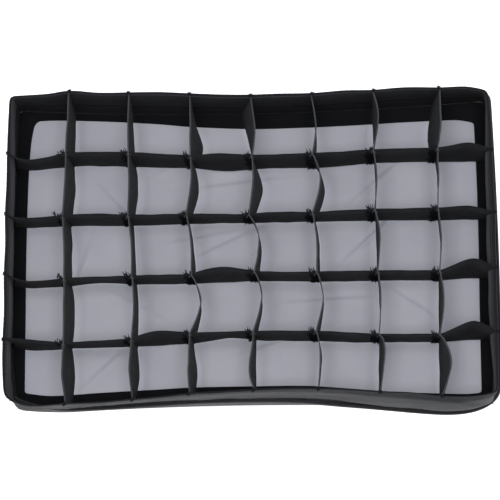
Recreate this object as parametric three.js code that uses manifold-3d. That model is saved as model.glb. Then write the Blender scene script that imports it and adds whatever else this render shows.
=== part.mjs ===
// A rectangular softbox with a fabric egg-crate grid, lying on its lamp ring with the light leaving upwards.
// Millimetres. +Z is the way the light goes, +X runs along the long side, and the origin is on the ground
// under the middle of the lamp ring. Bench order: lamp ring, rods, shell, inner baffle, diffuser, grid.
import * as THREE from "three";
import { mergeVertices } from "three/addons/utils/BufferGeometryUtils.js";
import Module from "manifold-3d";

const wasm = await Module();
wasm.setup();

// Clearances between neighbouring pieces
const GAP = 0.4;
const SHAFT_GAP = 0.3;

// Front opening: the outside of the grid's border, whose long sides bow in and short sides bow out
const HALF_LENGTH = 297;
const HALF_WIDTH = 193;
const LONG_BOW = 10;
const SHORT_BOW = 3;
const CORNER_RADIUS = 14;
const OUTLINE_STEPS = 5;

// Heights
const FRONT = 301.5;
const BINDING_HEIGHT = 2.2;
const GRID_BACK = 231;
const LIP_FRONT = 252;
const SHELL_FRONT = 222;
const DIFFUSER_HEIGHT = 226;
const BAFFLE_HEIGHT = 128;

// Grid
const COLUMNS = 8;
const ROWS = 5;
const ROW_PITCH = 75;
const BORDER_THICKNESS = 1.8;
const DIVIDER_THICKNESS = 1.2;
const TAPE_THICKNESS = 1.2;
const HOOK_WIDTH = 16;
const LOOP_WIDTH = 20;
const TAPE_INSET = 2;

// Shell
const SHELL_MARGIN = 3.4;
const LIP_THICKNESS = 1.8;
const PANEL_THICKNESS = 1.2;
const PANEL_END = 0.988;
const PANEL_STEPS_ACROSS = 10;
const PANEL_STEPS_ALONG = 8;
const DIFFUSER_BORDER = 16;
const DIFFUSER_BORDER_MORE_BOW = 2;
const DIFFUSER_THICKNESS = 1;
const HEM_THICKNESS = 1.8;

// Lamp ring stack, from the ground up
const SKIRT_INNER = 42;
const SKIRT_OUTER = 46;
const LUG_RADIUS = 49.2;
const LUG_BOTTOM = 1.5;
const LUG_HEIGHT = 4;
const LUG_COUNT = 3;
const LUG_ANGLE = THREE.MathUtils.degToRad(40);
const FLANGE_BOTTOM = 8;
const FLANGE_TOP = 10.6;
const FLANGE_RADIUS = 60;
const HUB_RADIUS = 54;
const HUB_TOP = 24.3;
const RING_INNER = HUB_RADIUS + 0.5;
const RING_OUTER = 76;
const RING_BOTTOM = FLANGE_TOP + GAP;
const RING_TOP = 24;
const RETAINER_BOTTOM = HUB_TOP + GAP;
const RETAINER_THICKNESS = 3;
const COLLAR_BOTTOM = 19.5;
const COLLAR_TOP = 27;
const COLLAR_THICKNESS = 1.4;
const ROUND_STEPS = 40;

// Screws
const SCREW_RADIUS = 1.6;
const SCREW_HEAD_RADIUS = 3;
const SCREW_HEAD_HEIGHT = 1.7;
const SCREW_STEPS = 12;
const RETAINER_SCREW_CIRCLE = 48.5;
const RETAINER_SCREW_LENGTH = 9;
const SOCKET_SCREW_LENGTH = 15.4;
const SCREW_COUNT = 4;

// Lock knob
const KNOB_HEIGHT = 15;
const KNOB_PIN_RADIUS = 3;
const KNOB_TIP = RING_INNER;
const KNOB_NECK = 78.5;
const KNOB_BACK = 83;
const KNOB_END = 97;
const KNOB_NECK_RADIUS = 4.4;
const KNOB_RADIUS = 8.6;
const FLUTE_COUNT = 6;
const FLUTE_RADIUS = 2.6;

// Rod sockets and rods
const SOCKET_INNER = 61.5;
const SOCKET_LENGTH = 14;
const SOCKET_WIDTH = 13;
const SOCKET_HEIGHT = 12;
const ROD_RADIUS = 2;
const ROD_GAP = 0.6;
const ROD_END_X = 279;
const ROD_END_Y = 177.5;
const ROD_END_HEIGHT = 204;
const ROD_START = [63, 28];
const ROD_BEND = [250, 103];
const ROD_STEPS = 12;
const ROD_SIDES = 8;
const TIP_RADIUS = 3.7;
const TIP_BORE_DEPTH = 8;
const TIP_LENGTH = 12;
const SLEEVE_INNER = 4.5;
const SLEEVE_OUTER = 5.5;
const SLEEVE_START = 0.22;
const SLEEVE_OVERRUN = 8;
const SLEEVE_CAP = 1.6;

// Inner baffle and its elastic ties
const BAFFLE_REACH = 195;
const BAFFLE_CORNER = 10;
const BAFFLE_CORNER_STEPS = 3;
const BAFFLE_THICKNESS = 1;
const TIE_START = 193;
const TIE_END = 234;
const TIE_WIDTH = 10;
const TIE_THICKNESS = 1.4;

const LOOP_TAPE_INSET = SHAFT_GAP - SHELL_MARGIN;
const SHELL_X = HALF_LENGTH + SHELL_MARGIN;
const SHELL_Y = HALF_WIDTH + SHELL_MARGIN;
const CORNER_ANGLE = Math.atan2(SHELL_Y, SHELL_X);
const ROD_ANGLE = Math.atan2(ROD_END_Y, ROD_END_X);
const ROD_ANGLES = [ROD_ANGLE, Math.PI - ROD_ANGLE, Math.PI + ROD_ANGLE, -ROD_ANGLE];

const FINISHES = {
  blackCloth: { color: 0x1b1c22, roughness: 0.9, metalness: 0 },
  silverLinedCloth: { color: 0x24252a, roughness: 0.8, metalness: 0 },
  whiteCloth: { color: 0xd9d9e2, roughness: 0.95, metalness: 0 },
  blackMetal: { color: 0x2a2a2d, roughness: 0.45, metalness: 0.8 },
  brightMetal: { color: 0xb9bcc0, roughness: 0.35, metalness: 1 },
  blackPlastic: { color: 0x18181a, roughness: 0.55, metalness: 0 },
  rubber: { color: 0x101011, roughness: 0.8, metalness: 0 },
};

const softbox = new THREE.Group();

function addPiece(name, geometry, finish) {
  const mesh = new THREE.Mesh(geometry, new THREE.MeshStandardMaterial(FINISHES[finish]));
  mesh.name = name;
  softbox.add(mesh);
  return mesh;
}

// Solids for joining and cutting
function solidOf(geometry) {
  const bare = geometry.clone();
  bare.deleteAttribute("normal");
  bare.deleteAttribute("uv");
  const merged = mergeVertices(bare, 1e-4);
  return new wasm.Manifold(
    new wasm.Mesh({
      numProp: 3,
      vertProperties: new Float32Array(merged.attributes.position.array),
      triVerts: new Uint32Array(merged.index.array),
    }),
  );
}

function geometryOf(solid) {
  const mesh = solid.getMesh();
  const geometry = new THREE.BufferGeometry();
  geometry.setAttribute("position", new THREE.BufferAttribute(mesh.vertProperties, 3));
  geometry.setIndex(new THREE.BufferAttribute(mesh.triVerts, 1));
  return geometry;
}

function cut(base, tools) {
  return geometryOf(tools.reduce((solid, tool) => solid.subtract(solidOf(tool)), solidOf(base)));
}

function join(base, extras) {
  return geometryOf(extras.reduce((solid, extra) => solid.add(solidOf(extra)), solidOf(base)));
}

// Turned and extruded shapes
function points2(pairs) {
  return pairs.map(([x, y]) => new THREE.Vector2(x, y));
}

function circle(radius, sides) {
  const step = (2 * Math.PI) / sides;
  return Array.from(
    { length: sides },
    (_, i) => new THREE.Vector2(radius * Math.cos(i * step), radius * Math.sin(i * step)),
  );
}

function turned(pairs, steps = ROUND_STEPS) {
  return new THREE.LatheGeometry(points2(pairs), steps).rotateX(Math.PI / 2);
}

// A plain ring about the Z axis
function ring(inner, outer, bottom, top) {
  return turned([[inner, bottom], [outer, bottom], [outer, top], [inner, top], [inner, bottom]]);
}

function rod(radius, bottom, top, steps = SCREW_STEPS) {
  return new THREE.CylinderGeometry(radius, radius, top - bottom, steps)
    .rotateX(Math.PI / 2)
    .translate(0, 0, (bottom + top) / 2);
}

function extruded(outer, holes, bottom, top) {
  const shape = new THREE.Shape(outer);
  holes.forEach((hole) => shape.holes.push(new THREE.Path(hole)));
  const geometry = new THREE.ExtrudeGeometry(shape, { depth: top - bottom, bevelEnabled: false });
  return geometry.translate(0, 0, bottom);
}

// The front outline, moved in by an inset, with round corners and bowed sides
function outline(inset, longBow = LONG_BOW) {
  const x = HALF_LENGTH - inset;
  const y = HALF_WIDTH - inset;
  const r = CORNER_RADIUS;
  const path = new THREE.Path();
  path.moveTo(x - r, y);
  path.quadraticCurveTo(0, y - 2 * longBow, r - x, y);
  path.quadraticCurveTo(-x, y, -x, y - r);
  path.quadraticCurveTo(-x - 2 * SHORT_BOW, 0, -x, r - y);
  path.quadraticCurveTo(-x, -y, r - x, -y);
  path.quadraticCurveTo(0, 2 * longBow - y, x - r, -y);
  path.quadraticCurveTo(x, -y, x, r - y);
  path.quadraticCurveTo(x + 2 * SHORT_BOW, 0, x, y - r);
  path.quadraticCurveTo(x, y, x - r, y);
  return path.getPoints(OUTLINE_STEPS).slice(0, -1);
}

// A closed band that follows the front outline
function band(outerInset, innerInset, bottom, top, innerBow = LONG_BOW) {
  return extruded(outline(outerInset), [outline(innerInset, innerBow)], bottom, top);
}

// How far in a bowed side stands at a share of its half length, 0 in the middle and 1 at the corner
function bowAt(share, bow) {
  return bow * (1 - share * share);
}

// ---- Lamp ring ----

// The speed ring: the fixed metal ring that the rods and the shell hang on
function addSpeedRing() {
  const pinHole = rod(KNOB_PIN_RADIUS + SHAFT_GAP, 0, RING_OUTER + GAP)
    .rotateX(Math.PI / 2)
    .translate(0, 0, KNOB_HEIGHT);
  const screwHoles = ROD_ANGLES.map((angle) =>
    rod(SCREW_RADIUS + SHAFT_GAP, RING_BOTTOM - 1, RING_TOP + 1)
      .translate(SOCKET_INNER + SOCKET_LENGTH / 2, 0, 0)
      .rotateZ(angle),
  );
  const blank = ring(RING_INNER, RING_OUTER, RING_BOTTOM, RING_TOP);
  addPiece("speed_ring", cut(blank, [pinHole, ...screwHoles]), "blackMetal");
}

// One bayonet lug, a sector that stands out of the skirt
function lug(index) {
  const middle = (index * 2 * Math.PI) / LUG_COUNT;
  const sector = new THREE.Path();
  sector.absarc(0, 0, LUG_RADIUS, -LUG_ANGLE / 2, LUG_ANGLE / 2, false);
  sector.absarc(0, 0, SKIRT_OUTER - 1, LUG_ANGLE / 2, -LUG_ANGLE / 2, true);
  return extruded(sector.getPoints(OUTLINE_STEPS), [], LUG_BOTTOM, LUG_BOTTOM + LUG_HEIGHT).rotateZ(middle);
}

// Places a copy of a geometry on a circle, once for each screw
function aroundCircle(count, radius, make) {
  return Array.from({ length: count }, (_, i) =>
    make().translate(radius, 0, 0).rotateZ((i * 2 * Math.PI) / count + Math.PI / count),
  );
}

// The rotating mount insert: a bayonet skirt, the flange that seats on the lamp, and a hub in the ring
function addMountInsert() {
  const body = turned([
    [SKIRT_INNER, 0],
    [SKIRT_OUTER, 0],
    [SKIRT_OUTER, FLANGE_BOTTOM],
    [FLANGE_RADIUS, FLANGE_BOTTOM],
    [FLANGE_RADIUS, FLANGE_TOP],
    [HUB_RADIUS, FLANGE_TOP],
    [HUB_RADIUS, HUB_TOP],
    [SKIRT_INNER, HUB_TOP],
    [SKIRT_INNER, 0],
  ]);
  const lugs = Array.from({ length: LUG_COUNT }, (_, i) => lug(i));
  const holes = aroundCircle(SCREW_COUNT, RETAINER_SCREW_CIRCLE, () =>
    rod(SCREW_RADIUS + SHAFT_GAP, HUB_TOP - RETAINER_SCREW_LENGTH, HUB_TOP + 1),
  );
  addPiece("mount_insert", cut(join(body, lugs), holes), "brightMetal");
}

// The retainer plate that keeps the insert in the ring, and its screws
function addRetainer() {
  const top = RETAINER_BOTTOM + RETAINER_THICKNESS;
  const holes = aroundCircle(SCREW_COUNT, RETAINER_SCREW_CIRCLE, () =>
    rod(SCREW_RADIUS + SHAFT_GAP, RETAINER_BOTTOM - 1, top + 1),
  );
  const plate = ring(SKIRT_INNER + 2, FLANGE_RADIUS, RETAINER_BOTTOM, top);
  addPiece("insert_retainer", cut(plate, holes), "blackMetal");
  const headBottom = top + SHAFT_GAP;
  const screws = aroundCircle(SCREW_COUNT, RETAINER_SCREW_CIRCLE, () =>
    screw(RETAINER_SCREW_LENGTH).rotateX(Math.PI).translate(0, 0, headBottom),
  );
  screws.forEach((geometry, i) => addPiece(`retainer_screw_${i + 1}`, geometry, "brightMetal"));
}

// A pan-head screw with its head below the origin and its shank going up
function screw(length) {
  return turned(
    [
      [0, -SCREW_HEAD_HEIGHT],
      [SCREW_HEAD_RADIUS * 0.8, -SCREW_HEAD_HEIGHT],
      [SCREW_HEAD_RADIUS, -SCREW_HEAD_HEIGHT / 2],
      [SCREW_HEAD_RADIUS, 0],
      [SCREW_RADIUS, 0],
      [SCREW_RADIUS, length],
      [0, length],
    ],
    SCREW_STEPS,
  );
}

// The lock knob: a fluted thumbscrew that goes in through the ring's side towards the hub
function addLockKnob() {
  const body = turned(
    [
      [0, KNOB_TIP],
      [KNOB_PIN_RADIUS, KNOB_TIP],
      [KNOB_PIN_RADIUS, KNOB_NECK],
      [KNOB_NECK_RADIUS, KNOB_NECK],
      [KNOB_NECK_RADIUS, KNOB_BACK],
      [KNOB_RADIUS, KNOB_BACK],
      [KNOB_RADIUS, KNOB_END - 1],
      [KNOB_RADIUS - 1, KNOB_END],
      [0, KNOB_END],
    ],
    ROUND_STEPS / 2,
  );
  const flutes = aroundCircle(FLUTE_COUNT, KNOB_RADIUS + FLUTE_RADIUS / 2, () =>
    rod(FLUTE_RADIUS, KNOB_BACK - 1, KNOB_END + 1),
  );
  addPiece("lock_knob", cut(body, flutes).rotateX(Math.PI / 2).translate(0, 0, KNOB_HEIGHT), "blackPlastic");
}

// ---- Rods, in the planes of the shell's corners ----

// A point in a corner's plane, at a distance from the Z axis
function cornerPoint(reach, height, angle) {
  return new THREE.Vector3(reach * Math.cos(angle), reach * Math.sin(angle), height);
}

function rodPath(angle) {
  return new THREE.QuadraticBezierCurve3(
    cornerPoint(...ROD_START, angle),
    cornerPoint(...ROD_BEND, angle),
    cornerPoint(Math.hypot(ROD_END_X, ROD_END_Y), ROD_END_HEIGHT, angle),
  );
}

function alongPath(shapePoints, holes, path, steps) {
  const shape = new THREE.Shape(shapePoints);
  holes.forEach((hole) => shape.holes.push(new THREE.Path(hole)));
  return new THREE.ExtrudeGeometry(shape, { steps, bevelEnabled: false, extrudePath: path });
}

// Turns a piece made along +Z to point along a direction, and puts its origin at a place
function aimed(geometry, direction, place) {
  const turn = new THREE.Quaternion().setFromUnitVectors(new THREE.Vector3(0, 0, 1), direction);
  return geometry.applyQuaternion(turn).translate(place.x, place.y, place.z);
}

// A socket block on the ring's front face, bored for its rod and for the screw that holds it
function addRodSocket(angle, number) {
  const middle = SOCKET_INNER + SOCKET_LENGTH / 2;
  const bottom = RING_TOP + SHAFT_GAP;
  const block = new THREE.BoxGeometry(SOCKET_LENGTH, SOCKET_WIDTH, SOCKET_HEIGHT)
    .translate(middle, 0, bottom + SOCKET_HEIGHT / 2)
    .rotateZ(angle);
  const path = rodPath(angle);
  const drill = rod(ROD_RADIUS + ROD_GAP, -SOCKET_LENGTH, 2 * SOCKET_LENGTH);
  const bore = aimed(drill, path.getTangent(0), path.getPoint(0));
  const screwTop = RING_BOTTOM - SHAFT_GAP + SOCKET_SCREW_LENGTH;
  const screwHole = rod(SCREW_RADIUS + SHAFT_GAP, bottom - 1, screwTop + SHAFT_GAP)
    .translate(middle, 0, 0)
    .rotateZ(angle);
  addPiece(`rod_socket_${number}`, cut(block, [bore, screwHole]), "blackMetal");
  addPiece(
    `socket_screw_${number}`,
    screw(SOCKET_SCREW_LENGTH).translate(middle, 0, RING_BOTTOM - SHAFT_GAP).rotateZ(angle),
    "brightMetal",
  );
}

// A bowed rod with a rubber tip, in a fabric sleeve that ends in a closed pocket at the front corner
function addRod(angle, number) {
  const path = rodPath(angle);
  const end = path.getPoint(1);
  const direction = path.getTangent(1);
  addPiece(`rod_${number}`, alongPath(circle(ROD_RADIUS, ROD_SIDES), [], path, ROD_STEPS), "blackPlastic");

  const tip = turned(
    [
      [0, TIP_BORE_DEPTH],
      [ROD_RADIUS + ROD_GAP, TIP_BORE_DEPTH],
      [ROD_RADIUS + ROD_GAP, 0],
      [TIP_RADIUS, 0],
      [TIP_RADIUS, TIP_LENGTH - 1],
      [TIP_RADIUS - 1, TIP_LENGTH],
      [0, TIP_LENGTH],
    ],
    SCREW_STEPS,
  );
  const tipPlace = end.clone().addScaledVector(direction, SHAFT_GAP - TIP_BORE_DEPTH);
  addPiece(`rod_tip_${number}`, aimed(tip, direction, tipPlace), "rubber");

  const stretch = Array.from({ length: ROD_STEPS }, (_, i) =>
    path.getPoint(SLEEVE_START + ((1 - SLEEVE_START) * i) / (ROD_STEPS - 1)),
  );
  const pocketEnd = end.clone().addScaledVector(direction, SLEEVE_OVERRUN);
  const sleevePath = new THREE.CatmullRomCurve3([...stretch, pocketEnd]);
  const inside = circle(SLEEVE_INNER, ROD_SIDES);
  const tube = alongPath(circle(SLEEVE_OUTER, ROD_SIDES), [inside], sleevePath, ROD_STEPS);
  const capPlace = pocketEnd.clone().addScaledVector(direction, -SLEEVE_CAP / 2);
  const cap = aimed(rod(SLEEVE_OUTER, 0, SLEEVE_CAP, ROD_SIDES), direction, capPlace);
  addPiece(`rod_sleeve_${number}`, join(tube, [cap]), "blackCloth");
}

// ---- Shell ----

const SEAM = new THREE.QuadraticBezierCurve(
  new THREE.Vector2(80, 24),
  new THREE.Vector2(271.7, 94.1),
  new THREE.Vector2(Math.hypot(SHELL_X, SHELL_Y), SHELL_FRONT),
);

// A point of the long +Y panel or the short +X panel: share runs from -1 to 1 between its corner seams,
// and along runs from 0 at the lamp ring to 1 at the front. The round back grows into the bowed front.
function panelPoint(isLong, share, along) {
  const seam = SEAM.getPoint(along);
  const middleAngle = isLong ? Math.PI / 2 : 0;
  const spread = isLong ? Math.PI / 2 - CORNER_ANGLE : CORNER_ANGLE;
  const angle = middleAngle - share * spread;
  const round = new THREE.Vector2(seam.x * Math.cos(angle), seam.x * Math.sin(angle));
  const halfSpan = seam.x * Math.sin(spread);
  const reach = seam.x * Math.cos(spread);
  const bow = isLong ? LONG_BOW : -SHORT_BOW;
  const corner = (CORNER_RADIUS / 4) * Math.pow(Math.abs(share), 24);
  const out = reach - along * (bowAt(share, bow) + corner);
  const across = share * (halfSpan - (along * CORNER_RADIUS) / 4);
  const square = isLong ? new THREE.Vector2(across, out) : new THREE.Vector2(out, -across);
  const squareness = 1 - Math.pow(1 - along, 3);
  const flat = round.lerp(square, squareness);
  return new THREE.Vector3(flat.x, flat.y, seam.y);
}

function panelNormal(isLong, share, along) {
  const step = 1e-3;
  const ahead = Math.min(along + step, 1);
  const s = panelPoint(isLong, share + step, along).sub(panelPoint(isLong, share - step, along));
  const a = panelPoint(isLong, share, ahead).sub(panelPoint(isLong, share, ahead - step));
  return a.cross(s).normalize();
}

// A panel as a thin block bent to the shell's outer face, its thickness going inwards
function panel(isLong) {
  const block = new THREE.BoxGeometry(2, 1, 1, PANEL_STEPS_ACROSS, PANEL_STEPS_ALONG, 1);
  block.translate(0, 0.5, -0.5);
  const spot = block.attributes.position;
  for (let i = 0; i < spot.count; i += 1) {
    const share = Math.sin((Math.PI / 2) * spot.getX(i)) * PANEL_END;
    const along = spot.getY(i);
    const point = panelPoint(isLong, share, along);
    point.addScaledVector(panelNormal(isLong, share, along), -PANEL_THICKNESS * (1 + spot.getZ(i)));
    spot.setXYZ(i, point.x, point.y, point.z);
  }
  return block;
}

function addShell() {
  addPiece("panel_top", panel(true), "silverLinedCloth");
  addPiece("panel_bottom", panel(true).rotateZ(Math.PI), "silverLinedCloth");
  addPiece("panel_right", panel(false), "silverLinedCloth");
  addPiece("panel_left", panel(false).rotateZ(Math.PI), "silverLinedCloth");
  const inner = RING_OUTER + GAP;
  addPiece("rear_collar", ring(inner, inner + COLLAR_THICKNESS, COLLAR_BOTTOM, COLLAR_TOP), "blackCloth");
}

// The front lip, and the loop tape sewn inside it
function addLip() {
  const inner = HALF_LENGTH - SHELL_X;
  addPiece("front_lip", band(inner - LIP_THICKNESS, inner, SHELL_FRONT + GAP, LIP_FRONT), "blackCloth");
  const front = LIP_FRONT - TAPE_INSET;
  const tape = band(LOOP_TAPE_INSET, LOOP_TAPE_INSET + TAPE_THICKNESS, front - LOOP_WIDTH, front);
  addPiece("lip_loop_tape", tape, "blackCloth");
}

// ---- Inner baffle ----

function addBaffle() {
  const x = BAFFLE_REACH * Math.cos(ROD_ANGLE);
  const y = BAFFLE_REACH * Math.sin(ROD_ANGLE);
  const sheet = new THREE.Path();
  const r = BAFFLE_CORNER;
  sheet.absarc(x - r, y - r, r, 0, Math.PI / 2, false);
  sheet.absarc(r - x, y - r, r, Math.PI / 2, Math.PI, false);
  sheet.absarc(r - x, r - y, r, Math.PI, 1.5 * Math.PI, false);
  sheet.absarc(x - r, r - y, r, 1.5 * Math.PI, 2 * Math.PI, false);
  const top = BAFFLE_HEIGHT + BAFFLE_THICKNESS;
  const cloth = extruded(sheet.getPoints(BAFFLE_CORNER_STEPS), [], BAFFLE_HEIGHT, top);
  addPiece("inner_baffle", cloth, "whiteCloth");
  ROD_ANGLES.forEach((angle, i) => {
    const tie = new THREE.BoxGeometry(TIE_END - TIE_START, TIE_WIDTH, TIE_THICKNESS)
      .translate((TIE_START + TIE_END) / 2, 0, BAFFLE_HEIGHT)
      .rotateZ(angle);
    addPiece(`baffle_tie_${i + 1}`, tie, "blackCloth");
  });
}

// ---- Front diffuser ----

function addDiffuser() {
  const edge = LOOP_TAPE_INSET + TAPE_THICKNESS + GAP;
  const innerEdge = edge + DIFFUSER_BORDER;
  const bow = LONG_BOW + DIFFUSER_BORDER_MORE_BOW;
  const hemTop = DIFFUSER_HEIGHT + HEM_THICKNESS - GAP;
  addPiece("diffuser_border", band(edge, innerEdge, DIFFUSER_HEIGHT - GAP, hemTop, bow), "blackCloth");
  const top = DIFFUSER_HEIGHT + DIFFUSER_THICKNESS;
  const cloth = extruded(outline(innerEdge + GAP, bow), [], DIFFUSER_HEIGHT, top);
  addPiece("front_diffuser", cloth, "whiteCloth");
}

// ---- Grid ----

function addGridBorder() {
  const borderFront = FRONT - BINDING_HEIGHT - GAP;
  addPiece("grid_border", band(0, BORDER_THICKNESS, GRID_BACK, borderFront), "blackCloth");
  addPiece("grid_rim_binding", band(-1, BORDER_THICKNESS + 1, borderFront + GAP, FRONT), "blackCloth");
  const tape = -SHAFT_GAP;
  const back = GRID_BACK + TAPE_INSET;
  addPiece("grid_hook_tape", band(tape - TAPE_THICKNESS, tape, back, back + HOOK_WIDTH), "blackCloth");
}

// A divider strip with a half-depth slot for each strip that crosses it, open to the back or to the front
function divider(halfLength, crossings, slotsAtBack) {
  const back = GRID_BACK + 1;
  const front = FRONT - BINDING_HEIGHT - 1;
  const middle = (back + front) / 2;
  const slotHalf = DIVIDER_THICKNESS / 2 + GAP;
  const slotEdge = slotsAtBack ? back : front;
  const slotEnd = slotsAtBack ? middle + GAP : middle - GAP;
  const plainEdge = slotsAtBack ? front : back;
  const corners = [[-halfLength, slotEdge]];
  crossings.forEach((place) =>
    corners.push(
      [place - slotHalf, slotEdge],
      [place - slotHalf, slotEnd],
      [place + slotHalf, slotEnd],
      [place + slotHalf, slotEdge],
    ),
  );
  corners.push([halfLength, slotEdge], [halfLength, plainEdge], [-halfLength, plainEdge]);
  return extruded(points2(corners), [], -DIVIDER_THICKNESS / 2, DIVIDER_THICKNESS / 2).rotateX(Math.PI / 2);
}

function evenPlaces(count, pitch) {
  return Array.from({ length: count - 1 }, (_, i) => (i + 1 - count / 2) * pitch);
}

function addDividers() {
  const columnPlaces = evenPlaces(COLUMNS, (2 * HALF_LENGTH) / COLUMNS);
  const rowPlaces = evenPlaces(ROWS, ROW_PITCH);
  const insideX = HALF_LENGTH - BORDER_THICKNESS - 2 * GAP;
  const insideY = HALF_WIDTH - BORDER_THICKNESS - 2 * GAP;
  columnPlaces.forEach((x, i) => {
    const halfLength = insideY - bowAt(x / HALF_LENGTH, LONG_BOW);
    const strip = divider(halfLength, rowPlaces, true).rotateZ(Math.PI / 2).translate(x, 0, 0);
    addPiece(`grid_divider_v${i + 1}`, strip, "blackCloth");
  });
  rowPlaces.forEach((y, i) => {
    const halfLength = insideX + bowAt(y / HALF_WIDTH, SHORT_BOW);
    const strip = divider(halfLength, columnPlaces, false).translate(0, y, 0);
    addPiece(`grid_divider_h${ROWS - 1 - i}`, strip, "blackCloth");
  });
}

addSpeedRing();
addMountInsert();
addRetainer();
addLockKnob();
ROD_ANGLES.forEach((angle, i) => {
  addRodSocket(angle, i + 1);
  addRod(angle, i + 1);
});
addShell();
addLip();
addBaffle();
addDiffuser();
addGridBorder();
addDividers();

export default softbox;
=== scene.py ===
import math
import random

import bmesh
import bpy
from mathutils import Matrix, Vector, noise


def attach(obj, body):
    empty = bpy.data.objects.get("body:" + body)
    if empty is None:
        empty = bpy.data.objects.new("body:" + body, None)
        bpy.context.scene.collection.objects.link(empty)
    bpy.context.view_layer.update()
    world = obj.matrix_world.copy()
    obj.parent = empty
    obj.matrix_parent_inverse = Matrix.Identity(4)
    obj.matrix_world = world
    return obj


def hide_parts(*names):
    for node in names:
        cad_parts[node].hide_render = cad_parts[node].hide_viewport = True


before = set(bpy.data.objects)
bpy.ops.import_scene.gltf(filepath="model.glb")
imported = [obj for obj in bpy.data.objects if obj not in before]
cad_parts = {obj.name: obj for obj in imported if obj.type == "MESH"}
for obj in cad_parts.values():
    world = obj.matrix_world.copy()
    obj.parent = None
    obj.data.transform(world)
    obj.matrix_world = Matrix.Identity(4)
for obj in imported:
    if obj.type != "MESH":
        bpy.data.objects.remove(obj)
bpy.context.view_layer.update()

scene = bpy.context.scene


# ---------------------------------------------------------------- camera
# The softbox lies on its lamp ring with the grid up. The camera hangs over it,
# a little towards its lower edge and its right, with a long lens.
lens = bpy.data.cameras.new("camera")
lens.sensor_width = 36
lens.lens = 122.4
lens.clip_start, lens.clip_end = 0.05, 40
camera = bpy.data.objects.new("camera", lens)
scene.collection.objects.link(camera)
scene.camera = camera
camera_place = Vector((0.0911, -0.4079, 2.3108))
camera_right = Vector((0.9989, -0.0086, -0.0463)).normalized()
camera_look = Vector((-0.04377, 0.19455, -0.97991)).normalized()
camera_up = camera_right.cross(camera_look).normalized()
camera_turn = Matrix((camera_right, camera_up, -camera_look)).transposed()
camera.matrix_world = Matrix.Translation(camera_place) @ camera_turn.to_4x4()


# ---------------------------------------------------------------- floor and studio light
# A plain sheet of white paper under large soft lamps. The paper glows a little, as paper
# on a light table does, so that it stays white close to the box.
FLOOR_HALF = 9.0
FLOOR_COLOUR = (0.93, 0.93, 0.93, 1)
FLOOR_GLOW = 0.5
LAMP_TARGET = (0, 0, 0.2)


class Value:
    """A number that runs through a finish's nodes and takes part in Python sums."""

    def __init__(self, finish, socket):
        self.finish = finish
        self.socket = socket

    def sum_with(self, operation, *others):
        inputs = {place: value for place, value in enumerate((self, *others))}
        return self.finish.node("ShaderNodeMath", {"operation": operation}, inputs)

    def turned(self, operation, first):
        return self.finish.node("ShaderNodeMath", {"operation": operation}, {0: first, 1: self})

    def __add__(self, other):
        return self.sum_with("ADD", other)

    __radd__ = __add__

    def __mul__(self, other):
        return self.sum_with("MULTIPLY", other)

    __rmul__ = __mul__

    def __rsub__(self, other):
        return self.turned("SUBTRACT", other)

    def __abs__(self):
        return self.sum_with("ABSOLUTE")

    def clipped(self, low=0.0, high=1.0):
        return self.finish.node(
            "ShaderNodeMapRange",
            {"clamp": True},
            {"Value": self, "From Min": low, "From Max": high},
        )

    def sine(self):
        return self.sum_with("SINE")

    def above(self, other):
        return self.sum_with("GREATER_THAN", other)


class Finish:
    """One material. Values that are the same all over are set on the shader itself."""

    def __init__(self, name, **surface):
        self.material = bpy.data.materials.new(name)
        self.material.use_nodes = True
        self.tree = self.material.node_tree
        self.shader = self.tree.nodes["Principled BSDF"]
        for socket, value in surface.items():
            self.shader.inputs[socket.replace("_", " ").title()].default_value = value

    def node(self, kind, settings=None, inputs=None, output=0):
        made = self.tree.nodes.new(kind)
        for name, value in (settings or {}).items():
            setattr(made, name, value)
        for name, value in (inputs or {}).items():
            self.feed(self.find(made.inputs, name), value)
        return Value(self, self.find(made.outputs, output))

    def find(self, sockets, name):
        shown = [socket for socket in sockets if socket.enabled]
        if isinstance(name, int):
            return shown[name]
        return next(socket for socket in shown if socket.name == name)

    def feed(self, socket, value):
        if isinstance(value, Value):
            self.tree.links.new(value.socket, socket)
        else:
            socket.default_value = value

    def surface(self, socket, value):
        self.feed(self.shader.inputs[socket], value)

    def mix(self, share, first, second):
        return self.node(
            "ShaderNodeMix",
            {"data_type": "RGBA"},
            {"Factor": share, "A": first, "B": second},
        )

    def place(self):
        return self.node("ShaderNodeTexCoord", output="Object")

    def cloth_place(self):
        return self.node("ShaderNodeTexCoord", output="UV")

    def parts(self, vector):
        split = self.node("ShaderNodeSeparateXYZ", inputs={"Vector": vector})
        names = ("X", "Y", "Z")
        return [Value(self, self.find(split.socket.node.outputs, name)) for name in names]

    def cloud(self, place, scale, detail=3.0, rough=0.55):
        return self.node(
            "ShaderNodeTexNoise",
            inputs={"Vector": place, "Scale": scale, "Detail": detail, "Roughness": rough},
        )

    def relief(self, height, depth, under=None):
        inputs = {"Height": height, "Distance": depth, "Strength": 1.0}
        if under is not None:
            inputs["Normal"] = under
        return self.node("ShaderNodeBump", inputs=inputs)


def mottled(name, roughness, scale, detail, dark, light, depth, **surface):
    """A plain finish whose two tones and relief follow one cloud. It gives the cloud as well."""
    made = Finish(name, roughness=roughness, **surface)
    cloud = made.cloud(made.place(), scale, detail)
    made.surface("Base Color", made.mix(cloud, dark, light))
    made.surface("Normal", made.relief(cloud, depth))
    return made, cloud


paper, _ = mottled("paper", 0.9, 180.0, 4.0, FLOOR_COLOUR, (0.955, 0.955, 0.955, 1), 0.0001)
paper.shader.inputs["Emission Color"].default_value = (1, 1, 1, 1)
paper.shader.inputs["Emission Strength"].default_value = FLOOR_GLOW


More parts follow.
